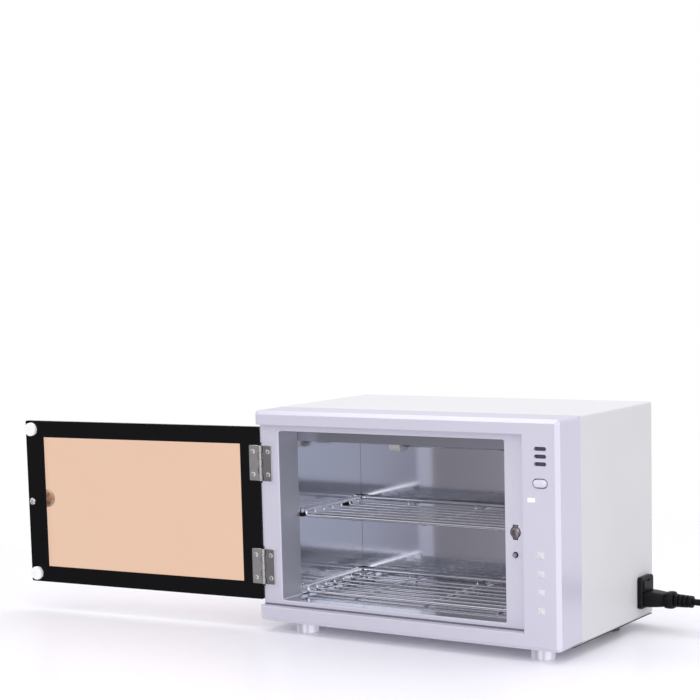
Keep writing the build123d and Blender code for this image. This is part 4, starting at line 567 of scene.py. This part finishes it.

# trim: a steel sheet on the doorway's ledge and one on its left side, a black line under the case's right side
# and a grey bead in the joint round the recess, widest along the bottom; the line and the bead are painted
# shade for the gaps there
trim = {"ledge": {"width": 274.5, "height": 35.2, "corner": 0.3, "thickness": 0.15, "bevel": 0.05},
        "ledgePlace": (161.45, 29.9, 22.5),
        "reveal": {"width": 35.2, "height": 183.6, "corner": 0.3, "thickness": 0.12, "bevel": 0.05},
        "revealPlace": (23.9, 29.9, 115.1),
        "hem": [(364.7, 27, 0.45), (364.7, 221.5, 0.45)], "hemRadius": 0.45,
        "joint": [([(1.1, 11.1, 16.9), (324.0, 11.1, 16.9)], 1.15),
                  ([(0.8, 11.5, 214.8), (324.4, 11.5, 214.8)], 0.4),
                  ([(324.7, 11.5, 17.2), (324.7, 11.5, 214.6)], 0.3)]}
makePiece("ledgeSheet", [slab(trim["ledge"], trim["ledgePlace"], (1, 0, 0), (0, 1, 0), (0, 0, 1))],
          "brightStainless", "cabinet", [])
makePiece("revealSheet", [slab(trim["reveal"], trim["revealPlace"], (0, 1, 0), (0, 0, 1), (1, 0, 0))],
          "satinStainless", "cabinet", [])
# the black line under the right side is painted shade for the gap at the hem
makePiece("hemShadeLine", [tube(np.array(trim["hem"], float), trim["hemRadius"], (0, 0, 1))],
          "blackNylon", "cabinet", [])
# the bead's grey is painted shade for the gap round the recess
makePiece("recessShadeBead", [tube(np.array(line, float), radius, (0, 1, 0)) for line, radius in trim["joint"]],
          "gapShadeGrey", "cabinet", [])

# push button: a cap a little smaller than its opening, a flange and stem behind it, and felt behind the slots
button = {"capPlace": (344.7, 3.3, 167.4), "flangePlace": (344.7, 4.5, 167.4), "stemPlace": (344.7, 0, 167.4),
          "cap": {"width": 14.7, "height": 7.7, "corner": 3.85, "thickness": 4.5, "bevel": 0.7},
          "stem": [(0, 4.4), (1.8, 4.4), (1.8, 10.2), (0, 10.2)],
          "flange": {"width": 18.4, "height": 11.4, "corner": 5.7, "thickness": 1.2, "bevel": 0.2},
          "felt": {"width": 17.5, "height": 22, "corner": 1, "thickness": 0.4, "bevel": 0.1},
          "feltPlace": (345, 3.5, 194)}
makePiece("buttonCap", [slab(button["cap"], button["capPlace"], (1, 0, 0), (0, 0, 1), (0, -1, 0), count=64)],
          "buttonAbs", "button", ["power_button"], sharp=50)
# the flange's black is painted shade for the gap round the cap
makePiece("buttonCarrier", [slab(button["flange"], button["flangePlace"], (1, 0, 0), (0, 0, 1), (0, -1, 0),
                                 count=64),
                            turned(button["stem"], button["stemPlace"], (0, 1, 0))],
          "blackNylon", "button", [], sharp=50)
makePiece("dustFelt", [slab(button["felt"], button["feltPlace"], (1, 0, 0), (0, 0, 1), (0, -1, 0))],
          "greyFelt", "cabinet", [])
print("hinges, catch, trim and button made")

# feet: moulded pillars with a rounded edge and a hollow underneath for the screw
foot = {"spots": {"foot_front_left": (49, 22), "foot_front_right": (335, 22), "foot_rear_left": (49, 175),
                  "foot_rear_right": (335, 175)}, "floor": -12,
        "profile": [(0, 4), (4.5, 4), (4.5, 0), (12, 0), (12, 12), (0, 12)], "bend": 1.0}
footProfile = bent(foot["profile"], foot["bend"])
# the back pair take the dark rubber, which is painted shade
for node, (x, y) in foot["spots"].items():
    makePiece(node + "Pillar", [turned(footProfile, (x, y, foot["floor"]), (0, 0, 1), sides=64)],
              "paintedShadeRubber" if "rear" in node else "footAbs", "cabinet", [node], sharp=50)

# connector grip and its boot, along the lead's line
grip = {"place": (0, 198.5, 21.5), "sides": 64,
        # place along the row's x axis, half width, half height, squareness
        "body": [(355.5, 0.01, 0.01, 6), (355.5, 12.0, 7.2, 8), (370.5, 12.0, 7.2, 8), (370.5, 12.5, 8.5, 7),
                 (378, 12.2, 8.3, 6), (386, 10.9, 7.7, 5), (391.2, 9.8, 7.1, 5), (392, 9.3, 6.8, 4),
                 (392, 0.01, 0.01, 4)],
        "collar": [(392, 0.01, 0.01, 4), (392, 9.2, 7.6, 4), (393, 9.8, 8.6, 3.5), (396, 10.0, 9.0, 3.2),
                   (400, 9.9, 8.9, 3), (401.5, 9.0, 8.2, 2.6), (402, 7.6, 7.2, 2.2)],
        # a low bump on the collar's top, left off where the collar closes to a point
        "bump": {"at": 398.5, "long": 2.4, "high": 1.1, "wide": 0.5, "leastRadius": 5}}
boot = {"start": 402, "length": 20.5, "ribs": 4, "rows": 90, "wide": 7.2, "narrow": 6.3, "depth": 1.5,
        "point": 0.01}                       # radius that its end shuts to


def gripShell(rows):
    at, wide, high, power = np.array(rows, float).T
    return squareRing(wide, high, power, grip["sides"]), at[:, None]


radius, height = gripShell(grip["body"])
makePiece("connectorGrip", [ringed(radius, height, grip["place"], (1, 0, 0), grip["sides"])],
          "blackPvc", "cabinet", ["cord_connector"], sharp=40)
radius, height = gripShell(grip["collar"])
angle = np.arange(grip["sides"]) / grip["sides"] * 2 * np.pi
bump = grip["bump"]
lengthwise = np.exp(-((height - bump["at"]) / bump["long"]) ** 2)
roundwise = np.exp(-((angle - 1.5 * np.pi) / bump["wide"]) ** 2)
radius = radius + bump["high"] * lengthwise * roundwise * (radius > bump["leastRadius"])
ribRadius, ribRun = ribbed(boot)
radius = np.concatenate((radius, np.broadcast_to(ribRadius[:, None], (boot["rows"], grip["sides"])),
                         np.full((1, grip["sides"]), boot["point"])))
height = np.concatenate((height, ribRun[:, None] + boot["start"], [[boot["start"] + boot["length"]]]))
makePiece("connectorBoot", [ringed(radius, height, grip["place"], (1, 0, 0), grip["sides"])],
          "blackPvc", "cabinet", ["cord_relief"], sharp=40)
print("feet and connector made")


# floor, room and lamps
stage = {"size": 3.0, "colour": "#fbf9fe", "near": 0.46, "far": 0.95, "middle": (0.12, 0.02),
         "sockets": {"Roughness": 0.34, "IOR": 1.45, "Specular IOR Level": 0.22}}
room = {"fill": 0.74, "fillColour": "#f8f8fc",
        # what mirrors see at each bearing, in degrees from +X, and how bright: a dim studio ahead with one
        # slit of light, reflector cards either side of the camera, pale elsewhere
        "bearings": [(-180, "#d5d6dc", 1), (-140, "#a8a8b0", 1), (-124.5, "#85848c", 1),
                     (-118.2, "#908d94", 1), (-114, "#d8d7de", 1), (-108, "#f6f6fc", 1.15),
                     (-80, "#f6f6fc", 1.4), (-72, "#c6cde2", 1), (-61, "#908d96", 1),
                     (-60.45, "#8c8992", 1), (-60.35, "#fbfcff", 1.5), (-59.8, "#fbfcff", 1.5),
                     (-59.7, "#8d8b94", 1), (-59.2, "#a09fa9", 1), (-58.8, "#cdcdd9", 1),
                     (-56, "#d3d7e5", 1), (-50, "#dce2f4", 1), (-42, "#f6f6fc", 1.45),
                     (0, "#f6f6fc", 1.45), (25, "#eceef6", 1), (60, "#dcdce4", 1), (180, "#d5d6dc", 1)],
        "ceiling": (0.30, 0.62), "ceilingColour": "#cfcfd8"}
# square soft lights: place in metres, size and power
lamps = {"softboxAbove": ((0.1, 0.2, 1.8), 2.4, 20), "softboxFront": ((0.7, -1.9, 0.9), 1.4, 7),
         "softboxLeft": ((-1.6, -1.4, 1.0), 1.2, 5), "softboxRight": ((1.9, -0.4, 0.9), 1.2, 3.5)}
lampAim = (0.1, 0.0, 0.1)


# a plain sheet of pale lacquer that thins to nothing away from the cabinet, so the room's white runs on
def makeFloor(stage):
    half = stage["size"] / 2
    mesh = bpy.data.meshes.new("floor")
    corners = [(-half, -half, 0), (half, -half, 0), (half, half, 0), (-half, half, 0)]
    mesh.from_pydata(corners, [], [(0, 1, 2, 3)])
    floor = bpy.data.objects.new("floor", mesh)
    bpy.context.collection.objects.link(floor)
    material = bpy.data.materials.new("paleLacquer")
    material.use_nodes = True
    tree = material.node_tree
    tree.nodes.clear()
    place = addNode(tree, "TexCoord").outputs["Object"]
    offset = addNode(tree, "VectorMath", {1: (*stage["middle"], 0)}, {0: place}, operation="DISTANCE")
    fade = addNode(tree, "MapRange", {"From Min": stage["near"], "From Max": stage["far"]},
                   {"Value": offset.outputs["Value"]}, interpolation_type="SMOOTHSTEP")
    lacquer = addNode(tree, "BsdfPrincipled", {"Base Color": hexColour(stage["colour"]), **stage["sockets"]})
    clear = addNode(tree, "BsdfTransparent")
    both = addNode(tree, "MixShader", links={0: fade.outputs["Result"], 1: lacquer.outputs["BSDF"],
                                             2: clear.outputs["BSDF"]})
    addNode(tree, "OutputMaterial", links={"Surface": both.outputs["Shader"]})
    mesh.materials.append(material)
    floor.visible_glossy = False             # mirrors see the room's tones in its place
    floor.visible_transmission = False       # and the tinted window sees the even white behind it


# even pale light from all round; mirrors see the bearings' tones, and the camera and clear panels see white
def makeRoom(room):
    world = bpy.data.worlds.new("room")
    bpy.context.scene.world = world
    world.use_nodes = True
    tree = world.node_tree
    tree.nodes.clear()
    path = addNode(tree, "LightPath").outputs
    way = addNode(tree, "SeparateXYZ", links={0: addNode(tree, "TexCoord").outputs["Generated"]}).outputs
    bearing = addNode(tree, "Math", links={0: way["Y"], 1: way["X"]}, operation="ARCTAN2")
    share = addNode(tree, "MapRange", {"From Min": -math.pi, "From Max": math.pi},
                    {"Value": bearing.outputs[0]})
    tones = addNode(tree, "ValToRGB", links={"Fac": share.outputs["Result"]})
    stops = tones.color_ramp.elements
    while len(stops) < len(room["bearings"]):
        stops.new(0.5)
    for stop, (degrees, colour, times) in zip(stops, room["bearings"]):
        stop.position = (degrees + 180) / 360
        stop.color = tuple(value * times for value in hexColour(colour))
    high = addNode(tree, "MapRange", {"From Min": room["ceiling"][0], "From Max": room["ceiling"][1]},
                   {"Value": way["Z"]}, interpolation_type="SMOOTHSTEP")
    mirrored = addNode(tree, "Mix", {"B": hexColour(room["ceilingColour"])},
                       {"Factor": high.outputs["Result"], "A": tones.outputs["Color"]}, data_type="RGBA")
    fill = hexColour(room["fillColour"])
    lit = addNode(tree, "Mix", {"A": tuple(value * room["fill"] for value in fill[:3]) + (1,)},
                  {"Factor": path["Is Glossy Ray"], "B": mirrored.outputs["Result"]}, data_type="RGBA")
    seen = addNode(tree, "Math", links={0: path["Is Camera Ray"], 1: path["Is Transmission Ray"]},
                   operation="MAXIMUM")
    light = addNode(tree, "Mix", {"B": (1, 1, 1, 1)}, {"Factor": seen.outputs[0], "A": lit.outputs["Result"]},
                    data_type="RGBA")
    even = addNode(tree, "Background", links={"Color": light.outputs["Result"]})
    addNode(tree, "OutputWorld", links={"Surface": even.outputs["Background"]})


# a white square light, turned towards what it lights
def makeLamp(name, place, aim, size, power):
    data = bpy.data.lights.new(name, "AREA")
    data.size = size
    data.energy = power
    lamp = bpy.data.objects.new(name, data)
    lamp.location = place
    lamp.rotation_euler = (Vector(aim) - Vector(place)).to_track_quat("-Z", "Y").to_euler()
    bpy.context.collection.objects.link(lamp)


makeFloor(stage)
makeRoom(room)
for name, (place, size, power) in lamps.items():
    makeLamp(name, place, lampAim, size, power)
bpy.context.scene.view_settings.view_transform = "Standard"
print("floor, room and lamps made")
